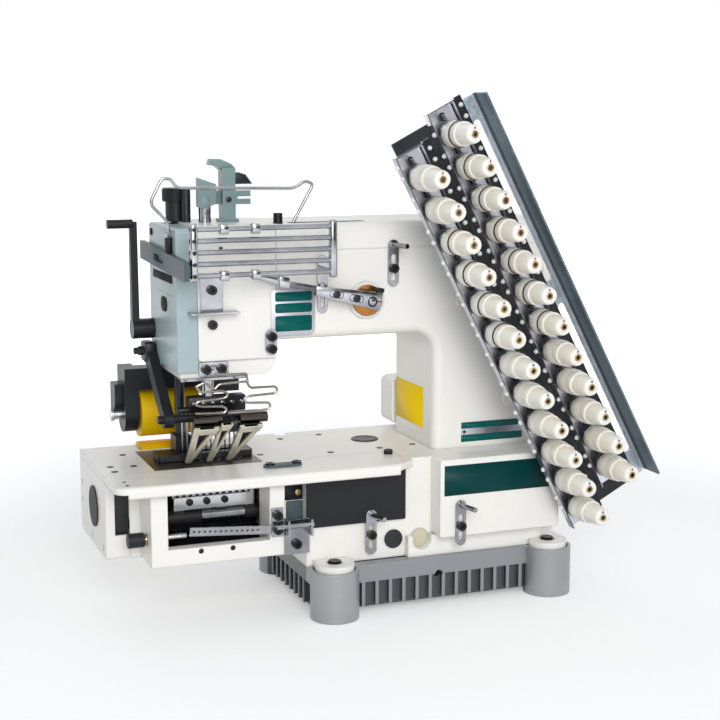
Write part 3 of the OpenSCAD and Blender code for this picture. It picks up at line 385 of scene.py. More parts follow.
# Painted shade: a darker copy of the grey-green enamel, with stronger corner shade, for the post and bracket
# that stand in shadow.
SHADED_GREEN = enamel("shaded_green_enamel", screen(128, 150, 150), screen(112, 134, 135),
                    screen(164, 180, 180), edge_r=1.0, corner_shade=0.8, reach=9.0, deep=0.25)
BLACK = enamel("black_enamel", screen(30, 32, 36), screen(22, 24, 27), screen(76, 78, 82),
               gloss=(0.34, 0.48), peel=0.12, gleam=0.22)
SLATE = enamel("slate_enamel", screen(84, 98, 104), screen(74, 87, 93), screen(128, 140, 143),
               gloss=(0.4, 0.5), edge_r=0.8, gleam=0.15)
CHROME = bright_metal("chrome_plate", screen(172, 173, 178), screen(134, 136, 141))
WIRE = bright_metal("drawn_wire", screen(164, 158, 152), screen(122, 116, 110))
CHAMPAGNE = bright_metal("pale_brass_plate", screen(228, 224, 208), screen(204, 199, 180),
                         gloss=(0.20, 0.30), metal=0.5)
DARK_STEEL = bright_metal("dark_steel", screen(112, 112, 114), screen(84, 84, 86), gloss=(0.2, 0.34))
PRESSED = bright_metal("pressed_steel", screen(64, 65, 68), screen(57, 58, 61), gloss=(0.34, 0.44))
TOOL_STEEL = bright_metal("tool_steel", screen(104, 98, 82), screen(76, 70, 56), gloss=(0.28, 0.40))
BRONZE = bright_metal("bronze", screen(186, 128, 70), screen(140, 90, 46), gloss=(0.2, 0.34))
SILVER = bright_metal("brushed_silver", screen(194, 196, 204), screen(178, 180, 188), gloss=(0.32, 0.44),
                      grain=(0.05, 1.0, 1.0))
BLACKED = bright_metal("blacked_steel", screen(58, 58, 60), screen(40, 40, 42), gloss=(0.3, 0.45))
BRASS = bright_metal("brass", screen(178, 156, 116), screen(138, 116, 78), gloss=(0.2, 0.34))
RUBBER = moulded("black_rubber", screen(38, 40, 44), screen(28, 30, 33), gloss=(0.55, 0.7), strength=0.12)
CREAM = moulded("cream_plastic", screen(248, 243, 233), screen(244, 238, 226), gloss=(0.24, 0.34),
                strength=0.03, corner=0.08, depth=7.0)
RED = moulded("red_ink", screen(205, 45, 40), screen(190, 36, 32))
BLUE = moulded("blue_ink", screen(30, 70, 130), screen(24, 60, 118))
AMBER = moulded("amber_glass", screen(208, 202, 182), screen(178, 170, 146), gloss=(0.08, 0.14),
                strength=0.01)
TEAL = ink("teal_ink", screen(0, 96, 92), screen(0, 84, 82), screen(30, 120, 115))
DEEP_TEAL = ink("deep_teal_ink", screen(0, 62, 62), screen(0, 55, 56), screen(20, 90, 86))
LEMON = ink("yellow_ink", screen(250, 212, 8), screen(242, 202, 4), screen(240, 210, 80))
DARK_INK = ink("dark_ink", screen(36, 40, 42), screen(30, 34, 36), screen(52, 56, 58), gloss=(0.5, 0.6),
               gleam=0.04)

STAND_TILT = math.radians(27.8)
ACROSS_STAND = (math.cos(STAND_TILT), 0.0, math.sin(STAND_TILT))
first_low, first_high = corners("left_knob_1")
FIRST_KNOB = (first_low + first_high) / 2

# Spans on the stand's angle, across the slope from the first knob, for the painted highlight along the fold
# and the painted shade on the lip, and the shaded depth of the lip where that painted shade is darkest.
FOLD_HIGHLIGHT, SHADED_LIP, LIP_SHADE_Y = (84.6, 87.0), (87.8, 95.0), (-112.0, -100.0)


def zinc():
    """Galvanised sheet with its spangle, a painted highlight along the fold and painted shade on the lip."""
    f = Finish("galvanised_sheet", metallic=0.85)
    spangle = f.add("ShaderNodeTexVoronoi", {"Vector": f.place, "Scale": 420.0}).outputs["Color"]
    grey = f.add("ShaderNodeRGBToBW", {0: spangle}).outputs[0]
    tint = f.mix(f.ramp(grey, 0.0, 1.0, 0.2, 0.8), screen(164, 174, 186), screen(192, 200, 210))
    # Painted highlight: a pale band along the fold.
    tint = f.mix(f.across(FIRST_KNOB, ACROSS_STAND, *FOLD_HIGHLIGHT), tint, screen(216, 222, 230))
    # Painted shade: the lip, turned away from the light, is darker, and darkest near the bend.
    lip = f.across(FIRST_KNOB, ACROSS_STAND, *SHADED_LIP)
    lip_shade_tint = f.mix(f.ramp(grey, 0.0, 0.5, 0.55, 0.9), screen(92, 108, 116), screen(126, 142, 150))
    tint = f.mix(lip, tint, lip_shade_tint)
    tint = f.mix(f.maths("MULTIPLY", lip, f.between("Y", *LIP_SHADE_Y)), tint, screen(34, 42, 48))
    normal = f.bump(f.noise(220.0), 0.06, 0.08, f.soft_edges(0.8))
    return f.finish(tint, f.ramp(grey, 0.30, 0.46), normal)


# Reach of the base's legs along a side, depth at which its ribs start, and height of its top rim.
LEG_REACH, RIB_START, RIM_DEPTH = 48.0, 24.6, 18.2


def base_paint():
    """Grey base: light legs, with painted shade on the walls between them, deeper on the left wall, and
    darkest in the spaces between the ribs.
    """
    f = Finish("grey_base_enamel", metallic=0.45, coat_weight=0.15, coat_roughness=0.2)
    low, high = corners("base_tray")
    tint = f.clouds(9.0, 3.0, screen(164, 168, 170), screen(146, 150, 153), 0.75)
    side_wall = f.between("Y", low.y + LEG_REACH, high.y - LEG_REACH)
    # Painted shade: the walls between the legs are darker than the legs.
    wall = f.maths("MAXIMUM", f.between("X", low.x + LEG_REACH, high.x - LEG_REACH), side_wall)
    tint = f.mix(wall, tint, screen(144, 148, 151))
    # Painted shade: the left wall, turned from the light, is darker still.
    left_wall_shade = f.maths("MULTIPLY", f.between("X", low.x - 1, low.x + 6), side_wall)
    tint = f.mix(left_wall_shade, tint, screen(108, 113, 115))
    # Painted shade: the spaces between the ribs, below the top rim, are darkest.
    rib_gap_shade = f.maths("MULTIPLY", f.between("X", low.x + 4, high.x - 4),
                   f.between("Y", low.y + RIB_START, high.y - RIB_START))
    rib_gap_shade = f.maths("MULTIPLY", rib_gap_shade, f.between("Z", -1, high.z - RIM_DEPTH))
    tint = f.mix(rib_gap_shade, tint, screen(76, 80, 83))
    normal = f.bump(f.noise(650.0, 2.0), 0.16, 0.15, f.soft_edges(1.0))
    return f.finish(tint, f.ramp(f.noise(45.0), 0.34, 0.46), normal)


DISC_Y = (-121.0, -118.2)


def satin():
    """Satin plate of the knob rails, with the tension discs left dark."""
    f = Finish("satin_plate", metallic=1.0)
    tint = f.clouds(28.0, 4.0, screen(210, 212, 220), screen(192, 194, 203))
    tint = f.mix(f.between("Y", *DISC_Y), tint, screen(62, 64, 70))
    # Painted shade: ambient occlusion darkens narrow corners.
    tint = f.mix(f.ramp(f.corners_dark(3.0), 0.5, 0.0, 0.15, 0.6), tint, screen(58, 60, 66))
    marks = f.noise(140.0, 5.0)
    return f.finish(tint, f.ramp(marks, 0.26, 0.38), f.bump(marks, 0.05, 0.05, f.soft_edges(0.5)))


def part_steel(name, soft, axis, low, high):
    """A soft colour inside a span of an axis, polished steel outside it."""
    f = Finish(name, specular_ior_level=0.25)
    inside = f.between(axis, low, high)
    tint = f.mix(inside, screen(205, 205, 207), f.clouds(30.0, 4.0, soft, darker(soft, 0.88)))
    normal = f.bump(f.noise(420.0, 2.0), 0.08, 0.1, f.soft_edges(1.0))
    rough = f.maths("ADD", f.ramp(f.noise(60.0), 0.16, 0.26), f.maths("MULTIPLY", inside, 0.24))
    return f.finish(tint, rough, normal, f.maths("SUBTRACT", 1.0, inside))


def two_paints(name, first, second, axis, low, high):
    """One paint inside a span of an axis and another outside it."""
    f = Finish(name, specular_ior_level=0.25)
    cloudy = f.ramp(f.noise(20.0, 4.0), 0.0, 0.12, 0.35, 0.7)
    tint = f.mix(cloudy, f.mix(f.between(axis, low, high), second, first), screen(128, 128, 128))
    normal = f.bump(f.noise(600.0, 2.0), 0.06, 0.1, f.soft_edges(1.0))
    return f.finish(tint, f.ramp(f.noise(50.0), 0.34, 0.48), normal)


BARS_Y, BARS_Z = (-49.6, -38.4), (190.6, 202.0)


def barred():
    """Black arm with bright round bars over the chute mouths."""
    f = Finish("black_arm_bright_bars", specular_ior_level=0.22)
    bars = f.maths("MULTIPLY", f.between("Y", *BARS_Y), f.between("Z", *BARS_Z))
    tint = f.mix(bars, f.clouds(30.0, 4.0, screen(30, 32, 36), screen(22, 24, 27)), screen(78, 75, 72))
    normal = f.bump(f.noise(600.0, 2.0), 0.08, 0.1, f.soft_edges(1.0))
    rough = f.maths("SUBTRACT", f.ramp(f.noise(60.0), 0.38, 0.48), f.maths("MULTIPLY", bars, 0.2))
    return f.finish(tint, rough, normal, bars)


GREY_BASE = base_paint()
ZINC = zinc()
SATIN = satin()
BARRED = barred()
ROLLER_NECK, ADJUST_GRIP = 9.9, 15.1
PLATE_Y, LOOPER_SHAFT_Z = (-112.0, -105.3), (90.0, 107.9)
roller_low, roller_high = corners("lower_roller")
ROLLER = part_steel("yellow_roller", screen(248, 202, 12), "X", roller_low.x + ROLLER_NECK,
                    roller_high.x - ROLLER_NECK)
PLATE = two_paints("black_plate_on_white_bosses", screen(28, 30, 34), screen(238, 236, 230),
                   "Y", *PLATE_Y)
adjust_left = corners("adjust_knob")[0].x
ADJUSTER = part_steel("black_knob_on_steel", screen(38, 40, 44), "X", adjust_left - 1,
                      adjust_left + ADJUST_GRIP)
LOOPER = part_steel("looper_shaft_and_sleeve", screen(40, 40, 42), "Z", *LOOPER_SHAFT_Z)

NODE_FINISH = {
    BARRED: ["guide_arm"],
    WHITE: ["bed_casting", "bed_cover", "end_cover", "arm_casting", "arm_top_cover", "head_cover",
            "column_cover", "handwheel"],
    GREY_BASE: ["base_tray"],
    GREEN: ["face_cover"],
    SHADED_GREEN: ["thread_post", "needle_bracket"],
    RUBBER: ["rubber_parts"],
    ADJUSTER: ["adjust_knob"],
    SLATE: ["rack_clamp"],
    PLATE: ["tension_plate"],
    SATIN: ["tension_rails"],
    LOOPER: ["looper_rocker"],
    BLACK: ["bed_panel", "pressure_knob", "lifter_lever", "puller_arm"],
    BLACKED: ["screws"],
    CHROME: ["thread_rack", "thread_guides", "needle_bar", "feed_dog", "take_up_lever"],
    CHAMPAGNE: ["tape_guides"],
    TOOL_STEEL: ["needle_plate"],
    PRESSED: ["presser_foot"],
    AMBER: ["oil_sight"],
    ROLLER: ["upper_roller", "lower_roller"],
    ZINC: ["tension_angle"],
    CREAM: [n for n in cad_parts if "_knob_" in n],
}
for finish, names in NODE_FINISH.items():
    for node_name in names:
        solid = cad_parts[node_name]
        solid.data.materials.clear()
        solid.data.materials.append(finish)

# Tension stand

KNOBS, KNOB_PITCH = 12, 33.85
ROWS = {"left": (0.0, 0.0), "right": (46.3, 20.8)}
DARK_RINGS = {"left": range(2, 6), "right": range(7)}
RED_DOTS = 6
KNOB_FOOT, KNOB_TIP, GROOVE = first_high.y, 48.0, 15.5
STAND = at(FIRST_KNOB.x, 0, FIRST_KNOB.z) @ Matrix.Rotation(-STAND_TILT, 4, "Y")
RAIL_FACE, LIP_FRONT = -110.0, -117.5
RAIL_FOOT, RAIL_HEAD = -392.0, 26.8
KNOB_PROFILE = [(3.0, 42), (3.0, 47.7), (3.4, 48), (6.4, 48), (7.5, 47.4), (8.3, 45.8), (8.6, 44.6),
                (10.3, 26.4), (11.0, 25.9), (11.6, 25.2), (11.7, 17.4), (11.4, 17.0), (11.2, 16.9),
                (11.2, 15.5), (12.1, 15.3), (12.5, 14.7), (12.5, 0.6), (12.1, 0), (3.0, 0), (3.0, 42)]
# The barrel between these heights, outside this radius, is drawn in at every second step.
FLUTES, FLUTED_FROM, FLUTED_TO, FLUTED_OUTSIDE, FLUTE_SHARE = 22, 26.0, 46.0, 5.0, 0.974


def on_stand(row, i, w, y, v):
    """Place on the stand, w across and v up the slope from knob i of a row, facing the front."""
    shift_w, shift_v = ROWS[row]
    return STAND @ at(shift_w + w, y, shift_v - i * KNOB_PITCH + v) @ FACING_FRONT


def fluted_knob():
    """Knob with a plain collar and a tapering fluted barrel."""
    shape = lathe(KNOB_PROFILE, 2 * FLUTES)
    for v in shape.verts:
        turn = round(math.atan2(v.co.y, v.co.x) / math.tau * 2 * FLUTES)
        if turn % 2 and FLUTED_FROM < v.co.z < FLUTED_TO and v.co.xy.length > FLUTED_OUTSIDE:
            v.co.xy *= FLUTE_SHARE
    return shape


def tension_knob(row, i):
    """One tension knob: barrel, ring in the groove, brass socket in the tip and colour dot."""
    band = lathe([(11.0, -0.1), (12.2, -0.1), (12.6, 0.7), (12.2, 1.5), (11.0, 1.5), (11.0, -0.1)], 36)
    socket = lathe([(1.9, -6.0), (1.9, 0.0), (2.2, 0.25), (3.1, 0.25), (3.35, 0.0), (3.35, -0.2),
                    (2.95, -0.3), (2.95, -6.0), (1.9, -6.0)], 24)
    dot = lathe([(0, 0.4), (0.6, 0.3), (0.95, 0.1), (0.95, -0.6), (0, -0.6)], 14)
    placed(band, at(0, 0, GROOVE))
    placed(socket, at(0, 0, KNOB_TIP))
    placed(dot, at(2.4, 5.2, KNOB_TIP))
    parts = [(fluted_knob(), CREAM), (band, RUBBER if i in DARK_RINGS[row] else CREAM), (socket, BRASS),
             (dot, RED if i < RED_DOTS else BLUE)]
    place = on_stand(row, i, 0, KNOB_FOOT, 0)
    made = piece(f"{row}_tension_{i + 1}", f"tension_{row}_knob_{i + 1}",
                 [(placed(shape, place), finish) for shape, finish in parts])
    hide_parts(f"{row}_knob_{i + 1}")


def rail_eyelet():
    return lathe([(0, 2.4), (1.3, 2.1), (2.2, 1.2), (2.5, 0.0), (2.2, -0.8), (0, -0.8)], 12)


def check_spring():
    """Spring over a knob's disc: a short coil up the slope with a hooked end."""
    turns = [Vector((2.3 * math.cos(a), 13.2 + 0.2 * k, 4.4 + 2.3 * math.sin(a)))
             for k, a in ((k, k * math.tau / 10) for k in range(32))]
    hook = [Vector((1.5, 20.6, 5.5)), Vector((-1.2, 21.6, 6.5)), Vector((-3.2, 20.4, 7.5))]
    return wire(turns + hook, 0.7, 7)


def rail_strip(row, w0, w1, y, foot=RAIL_FOOT):
    """Thin strip along a rail, over a span of w, from a foot to the rail's head."""
    place = on_stand(row, 0, (w0 + w1) / 2, y, (foot + RAIL_HEAD) / 2)
    return placed(slab(round_corners(w1 - w0, RAIL_HEAD - foot, 0.05, 1), 0.2, 0), place)


knob_places = [(r, i) for r in ROWS for i in range(KNOBS)]
for row_name, knob in knob_places:
    tension_knob(row_name, knob)
EYELET_STEPS = (18.0, 6.2)
EYELET_ROWS = ((-14.6, LIP_FRONT + 4), (23.5, RAIL_FACE))
trim("rail_eyelets", [placed(rail_eyelet(), on_stand(r, i, w, y, step)) for w, y in EYELET_ROWS
                      for r, i in knob_places for step in EYELET_STEPS], CREAM)
trim("check_springs", [placed(check_spring(), on_stand(r, i, 0, RAIL_FACE, 0)) for r, i in knob_places],
     BLACKED)
# Painted shade: thin black strips along the rails where the lips and the flange fold.
RAIL_SHADE_LINES = [(-14.0, -13.2, LIP_FRONT), (15.5, 17.0, LIP_FRONT), (-12.4, -11.6, RAIL_FACE),
              (14.4, 15.4, RAIL_FACE), (19.5, 27.0, RAIL_FACE), (-14.0, 17.0, LIP_FRONT, 26.0)]
trim("rail_shade_lines", [rail_strip(r, *line) for r in ROWS for line in RAIL_SHADE_LINES], BLACK)

# Thread rack and its bail

ARM_FRONT, ARM_TOP, FACE_X = -45.0, 381.0, -258.0
RACK_X0, RACK_X1, RACK_Y, RACK_LOW, RACK_H = -255.0, -114.0, -86.0, 333.0, 54.0
RACK_MID = RACK_LOW + RACK_H / 2
BAR_W, ROD_R, ROD_PITCH = 7.0, 2.5, 10.6
ROD_HEIGHTS = [RACK_MID + ROD_PITCH * k for k in (-2, -1, 0, 1, 2)]
BAIL_Y, BAIL_R, BAIL_FOOT = -30.0, 1.5, -2.5
BAIL = [(BAIL_FOOT, -24), (BAIL_FOOT, 3), (-20, 21), (-8, 44), (0, 44), (6, 35), (122, 33), (132, 40),
        (141, 37), (120, 0)]


def thread_rack():
    """Two upright bars with rods and clips, the arm that holds them, and the bail over the head."""
    bars = [placed(block((BAR_W, 8, RACK_H), 2.2, 3), at(x, RACK_Y, RACK_MID))
            for x in (RACK_X0 + BAR_W / 2, RACK_X1 - BAR_W / 2)]
    rods = [placed(rod(RACK_X1 - RACK_X0, ROD_R), at(RACK_X0, RACK_Y, z) @ ALONG_X) for z in ROD_HEIGHTS]
    clips = [placed(block((8, 10, 9), 1.2), at(RACK_X0 + 32 + 30 * k, RACK_Y, z - 0.5))
             for k in (0, 1) for z in (ROD_HEIGHTS[0], ROD_HEIGHTS[-1])]
    arm = on_front(rod(39, ROD_R), RACK_X1 - BAR_W / 2, ARM_FRONT - 2, RACK_LOW + 5)
    bail = wire(bent([(FACE_X + x, BAIL_Y, ARM_TOP + z) for x, z in BAIL], 6.0, 5), BAIL_R, 12)
    foot = at(FACE_X + BAIL_FOOT, BAIL_Y, 0)
    sleeve = placed(lathe([(BAIL_R, 355.4), (3.6, 355.4), (4.0, 356), (4.0, 369.4), (3.4, 370),
                           (BAIL_R, 370)], 24), foot)
    nut = placed(lathe([(BAIL_R, 370), (4.6, 370), (5.0, 370.5), (5.0, 374), (4.4, 374.6),
                        (BAIL_R, 374.6)], 6), foot)
    heads = [on_front(button(1.9, 1.0), RACK_X0 + BAR_W / 2, RACK_Y - 4, z) for z in ROD_HEIGHTS]
    made = piece("rack_with_bail", MACHINE, [
        (joined(bars + rods + clips + [arm]), CHROME), (bail, CHROME), (sleeve, BLACK), (nut, CHROME),
        (joined(heads), BLACKED)])
    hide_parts("thread_rack")


thread_rack()

# Thread wires in front of the needles

WIRE_Y, WIRE_R = -68.0, 1.2
WIRE_SHIFT = (-0.7, 0.5)
LOOPS_RIGHT = [(-227.2, 244.6), (-224.3, 243.3), (-197.4, 242.7), (-196.3, 238.9), (-196, 232.3),
               (-193, 228.9), (-168.7, 228.7), (-166.4, 225.2), (-169.5, 222.1), (-195.4, 221.2),
               (-200.3, 218.6), (-197.7, 214.9), (-175.7, 213.6), (-173.5, 210.9), (-175.7, 207.3),
               (-191, 206.1), (-215.9, 206.4)]
LOOPS_LEFT = [(-245.9, 233.4), (-242.3, 227.7), (-220.1, 227.7), (-215.3, 224.9), (-217.2, 221.2),
              (-227.7, 219.9), (-244.7, 219.1), (-246.9, 215.9), (-241.1, 214.1), (-221, 213.1),
              (-216.7, 210.2), (-218.9, 206.7), (-247.1, 207.9)]
LOOP_LINK = [(-245.9, 233.4), (-237.7, 236.9), (-228.2, 229.3), (-224.4, 234.2), (-198.2, 235.4),
             (-196.1, 233.9)]
WIRE_ROOT = [(-221.5, ARM_FRONT + 1, 244.5), (-224.5, WIRE_Y + 4, 244.5)]


def looped(points, start=()):
    shifted = [(x + WIRE_SHIFT[0], WIRE_Y, z + WIRE_SHIFT[1]) for x, z in points]
    return wire(bent(list(start) + shifted, 2.6, 3), WIRE_R, 8)


trim("thread_wires", [looped(LOOPS_RIGHT, WIRE_ROOT), looped(LOOPS_LEFT), looped(LOOP_LINK)], WIRE)

# Tape chutes with their V pockets

# Each chute: place of its tip, length, both ends of its mouth, and the rims' share of the mouth.
CHUTES = [(-243.5, 55.5, -0.8, 23.2, 0.2), (-222.0, 60.0, 3.0, 14.0, 0.12), (-202.0, 55.0, 2.2, 24.6, 0.2)]
CHUTE_Y, CHUTE_Z, CHUTE_LEAN = -14.0, 150.0, math.radians(131)
CHUTE_FLOOR, CHUTE_DEEP, BAND_H = 1.5, 4.0, 8.0
CHUTE_FOOT = [(-2.4, 2.5), (2.9, 2.5)]
chute_backs, chute_plates, chute_bands = [], [], []
for tip_x, chute_l, mouth_0, mouth_1, rim_share in CHUTES:
    lay = at(tip_x, CHUTE_Y, CHUTE_Z) @ Matrix.Rotation(CHUTE_LEAN, 4, "X")
    rim = (mouth_1 - mouth_0) * rim_share
    apex = (0.30 * (mouth_0 + mouth_1) / 2 + 1.0, 0.34 * chute_l)
    end_0, end_1 = (mouth_0, chute_l), (mouth_1, chute_l)
    pocket = [(mouth_1 - rim, chute_l), apex, (mouth_0 + rim, chute_l)]
    band_outline = [(mouth_0 - 0.3, chute_l - BAND_H), (mouth_1 - 2.6, chute_l - BAND_H),
                    (mouth_1 + 0.3, chute_l + 0.2), (mouth_0, chute_l + 0.2)]
    chute_backs.append(placed(slab(CHUTE_FOOT + [end_1, end_0], CHUTE_FLOOR, 0), lay))
    chute_plates.append(placed(slab(CHUTE_FOOT + [end_1] + pocket + [end_0], CHUTE_DEEP - CHUTE_FLOOR, 0.5),
                               lay @ at(0, 0, CHUTE_FLOOR)))
    chute_bands.append(placed(slab(band_outline, 0.9, 0.3), lay @ at(0, 0, CHUTE_DEEP - 0.2)))
chutes = piece("tape_chutes", "tape_guide", [
    (joined(chute_backs), BLACKED), (joined(chute_plates), CHAMPAGNE), (joined(chute_bands), CHAMPAGNE)])
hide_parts("tape_guides")

# Needle bar, its clamp and the needles

NEEDLE_X, NEEDLE_Y = -215.0, 9.0
NEEDLES, GAUGE = 12, 4.8
NEEDLE = [(0, 150.6), (0.35, 151.2), (0.75, 154), (0.9, 156), (0.9, 172), (1.1, 174), (1.1, 195), (0, 195)]
bar = placed(rod(201, 6.0, 0.8, 32), at(NEEDLE_X, NEEDLE_Y, 200))
clamp_parts = [placed(block((58, 14, 16), 1.4), at(-207, NEEDLE_Y, 202)),
               placed(block((68, 11, 5), 0.8), at(-212, NEEDLE_Y, 196.5))]
needle_row = [placed(lathe(NEEDLE, 10), at(NEEDLE_X + (k - (NEEDLES - 1) / 2) * GAUGE, NEEDLE_Y, 0))
              for k in range(NEEDLES)]
clamp_heads = [on_front(button(2.0, 1.4), -231 + 2 * GAUGE * k, NEEDLE_Y - 7, 203.5) for k in range(6)]
needle_drive = piece("needle_drive_bar", "needle_drive", [
    (bar, CHROME), (joined(clamp_parts), BLACKED), (joined(needle_row), CHROME),
    (joined(clamp_heads), CHROME)])
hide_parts("needle_bar")

# Loopers and adjusting shaft

HOLDER_FRONT = -36.0
COMB_X, COMB_Z, COMB_PITCH, COMB_TEETH = -226.5, 122.9, 6.6, 12
trim("looper_screws", [on_front(button(3.4, 2.4), x, HOLDER_FRONT, 115.5) for x in (-247, -230, -212)],
     BLACKED, "looper")
comb_bar = placed(block((COMB_PITCH * COMB_TEETH, 1.6, 4.6), 0.4), at(COMB_X, HOLDER_FRONT - 0.6, COMB_Z))
comb_teeth = [placed(block((4.0, 1.8, 4.8), 0.7),
                     at(COMB_X + COMB_PITCH * (k - (COMB_TEETH - 1) / 2), HOLDER_FRONT - 1.6, COMB_Z))
              for k in range(COMB_TEETH)]
piece("looper_comb", "looper", [(comb_bar, BLACKED), (joined(comb_teeth), CHROME)])
SLEEVE = [(7.0, 0), (7.4, 0), (7.9, 0.5), (7.9, 43), (7.4, 43.5), (7.0, 43.5), (7.0, 0)]
trim("looper_sleeve", [placed(lathe(SLEEVE), at(-235, -30, 100) @ ALONG_X)], CHROME, "looper")
SPACE_X, SPACE_W = -225.5, 125
trim("looper_space_shade", [placed(slab(round_corners(SPACE_W, 86, 1), 0.4, 0), at(SPACE_X, -23, 72.1)),
                            on_front(slab(round_corners(SPACE_W, 48, 1), 0.4, 0), SPACE_X, 20, 97)],
     BLACK)
BUSH = [(3.3, 0), (5.4, 0), (5.6, 0.3), (5.6, 1.5), (5.2, 1.9), (3.3, 1.9), (3.3, 0)]
trim("shaft_bushes", [placed(lathe(BUSH, 24), at(x, -60, 90) @ ALONG_X) for x in (-296.9, -279.0)],
     BRASS)

# Bed, arm and column trim

COVER_FRONT, COLUMN_LEFT, BED_TOP, NICHE_BACK, RAIL_FRONT = -92.0, 5.0, 148.5, -56.0, -79.0
PLATE_FIELDS = ((307, 316), (296, 305), (278, 293))
COLUMN_FIELDS = ((168, 174.3), (154.2, 161.4))
DECK_DOTS = [(-294, 45), (-294, -6), (-316, -2), (-316, -23), (-124, 60), (-79, 66), (-165.3, -3),
             (-95.9, -17.9), (-42.3, -16.5), (-4.5, -12.6)]
STRIP_DOTS = [(-316, -66), (-316, -80)]
DISC = [(0, 0), (14.2, 0), (14.4, 0.4), (13.9, 1.0), (11.5, 1.2), (11.2, 0.8), (0, 0.8)]
POST_X, POST_FRONT, POST_STOP_Z = -186.0, 6.95, ARM_TOP + 36
POST_STOP_SHADE = [(0.5, 0.5), (17.8, 0.5), (11.6, 9.0), (4.8, 11.0), (0.5, 11.0)]
SWING_HEAD = [(0, 0), (4.6, 0), (4.6, 5), (3.4, 5.6), (3.4, 9), (2.8, 9.6), (0, 9.6)]


def front_sheet(name, x0, x1, z0, z1, y, thick, finish, slot, radius=0.6):
    """Thin sheet or ink field on a front face."""
    shape = slab(round_corners(x1 - x0, z1 - z0, radius), thick, min(0.2, thick / 2))
    trim(name, [on_front(shape, (x0 + x1) / 2, y, (z0 + z1) / 2)], finish)


def ink_field(width, height, radius):
    return slab(round_corners(width, height, radius), 0.25, 0.1)


def deck_dots(radius, places):
    return [placed(button(radius, 0.25, 0.1), at(x, y, BED_TOP)) for x, y in places]


front_sheet("name_plate", -166, -121.5, 273.5, 319.5, ARM_FRONT, 1.2, SILVER, "steel", 6)
for index, field in enumerate(PLATE_FIELDS):
    front_sheet(f"name_plate_field_{index}", -162, -124.8, *field, ARM_FRONT - 1.2, 0.25, TEAL,
                "green_paint", 2.0)
front_sheet("column_band", -3.5, 121, 112, 142.5, COVER_FRONT, 0.25, DEEP_TEAL, "green_paint")
front_sheet("column_plate", 35.5, 105, 154, 174.5, ARM_FRONT, 0.4, SILVER, "steel", 1.0)
for index, field in enumerate(COLUMN_FIELDS):
    front_sheet(f"column_plate_field_{index}", 35.7, 104.8, *field, ARM_FRONT - 0.4, 0.2, TEAL,
                "green_paint")
trim("column_plate_rivet", [on_front(button(1.6, 0.8), 39, ARM_FRONT - 0.4, 164.6)], BLACKED)
trim("side_field", [on_left(ink_field(72, 42, 1.0), COLUMN_LEFT, 18, 187)], LEMON)
trim("arm_stripe", [placed(ink_field(77, 12, 0.6), at(-104.5, -29.5, ARM_TOP))], DEEP_TEAL)
trim("bed_latch", [placed(slab(round_corners(38.6, 14, 7), 2.2, 0.6), at(-159.3, -57, BED_TOP))], SLATE)
trim("deck_plugs", deck_dots(3.4, DECK_DOTS), BLACKED)
trim("deck_disc", [placed(lathe(DISC, 48), at(-41.5, 28, BED_TOP))], PRESSED)
# Painted shade: dark discs sunk in the rail's two holes.
trim("rail_hole_shades", [on_front(button(2.45, 0.3, 0.1), x, RAIL_FRONT, 79) for x in (-247.6, -216.7)],
     BLACKED)
# Painted shade: a thin black sheet over the front of the post's stop.
trim("post_stop_shade", [on_front(slab(POST_STOP_SHADE, 0.5, 0.2), POST_X, POST_FRONT, POST_STOP_Z)], BLACK)
trim("strip_dots", deck_dots(1.5, STRIP_DOTS), BLACKED)
front_sheet("niche_shade", -161, -138, 113.5, 136, NICHE_BACK, 0.3, BLACK, "black_paint")
front_sheet("niche_plate", -156, -139, 90.5, 113, NICHE_BACK, 0.4, SLATE, "base_paint", 2.0)
trim("niche_screw", [on_front(button(3.2, 1.6), -144, NICHE_BACK - 0.3, 121)], BRASS)
end_low, end_high = corners("end_cover")
trim("end_rubber", [placed(block((14.4, 2.4, end_high.z - end_low.z - 36), 0.8),
                           at(end_low.x + 16.5, end_low.y + 5.6, (end_low.z + end_high.z + 11) / 2))],
     RUBBER)
trim("head_screws", [on_front(button(1.8, 0.8), -214.6, ARM_FRONT, 359.6),
                     on_front(button(2.8, 1.0), -193.0, 1.0, 402.5)], BLACKED)
trim("face_plates", [on_left(slab(round_corners(73.8, 13.8, 0.2, 1), 0.6, 0), FACE_X + 0.6, 1, 322),
                     on_left(slab(round_corners(6.9, 13.9, 3.4), 1.5, 0), FACE_X + 1.5, 8, 290)],
     GREEN)
face_tag = on_left(slab(round_corners(78, 8, 0.8), 1.0, 0.2), FACE_X + 0.6, 8.5, 330)
# Painted shade: a dark oval sheet for the opening in the face cover.
face_oval_shade = on_left(slab(round_corners(23, 14, 6.9, 8), 1.4, 0.5), FACE_X + 0.6, 3.8, 303.7)
face_screw = on_left(button(3.6, 1.2), FACE_X, 51, 370)
trim("face_fittings", [face_tag, face_oval_shade, face_screw], DARK_INK)
trim("swing_clamp", [placed(block((11, 24, 20), 2.5), at(-264.3, 50, 251)),
                     placed(lathe(SWING_HEAD, 6), at(-269.5, 50, 252) @ ALONG_X.inverted())],
     BLACK, "tape_guide")

# Take-up lever with its clamp, slots and bronze ring

TAKEUP = at(-69.0, 0, 305.0)
LEVER_BACK, LEVER_T, HUB_BACK = -59.3, 5.0, -49.3
LEVER_FRONT = LEVER_BACK - LEVER_T
LEVER_TILT = Matrix.Rotation(math.radians(12), 4, "Y")
LEVER_SLOTS = ((-37, 8.8), (-16.5, 4.0))


def on_lever(shape, x, y, z):
    """Shape facing the front, placed from the lever's pivot."""
    return placed(shape, TAKEUP @ at(x, y, z) @ FACING_FRONT)


def lever_plate(outline, y, thick):
    return on_lever(slab(outline, thick, 0.8), 0, y, 0)


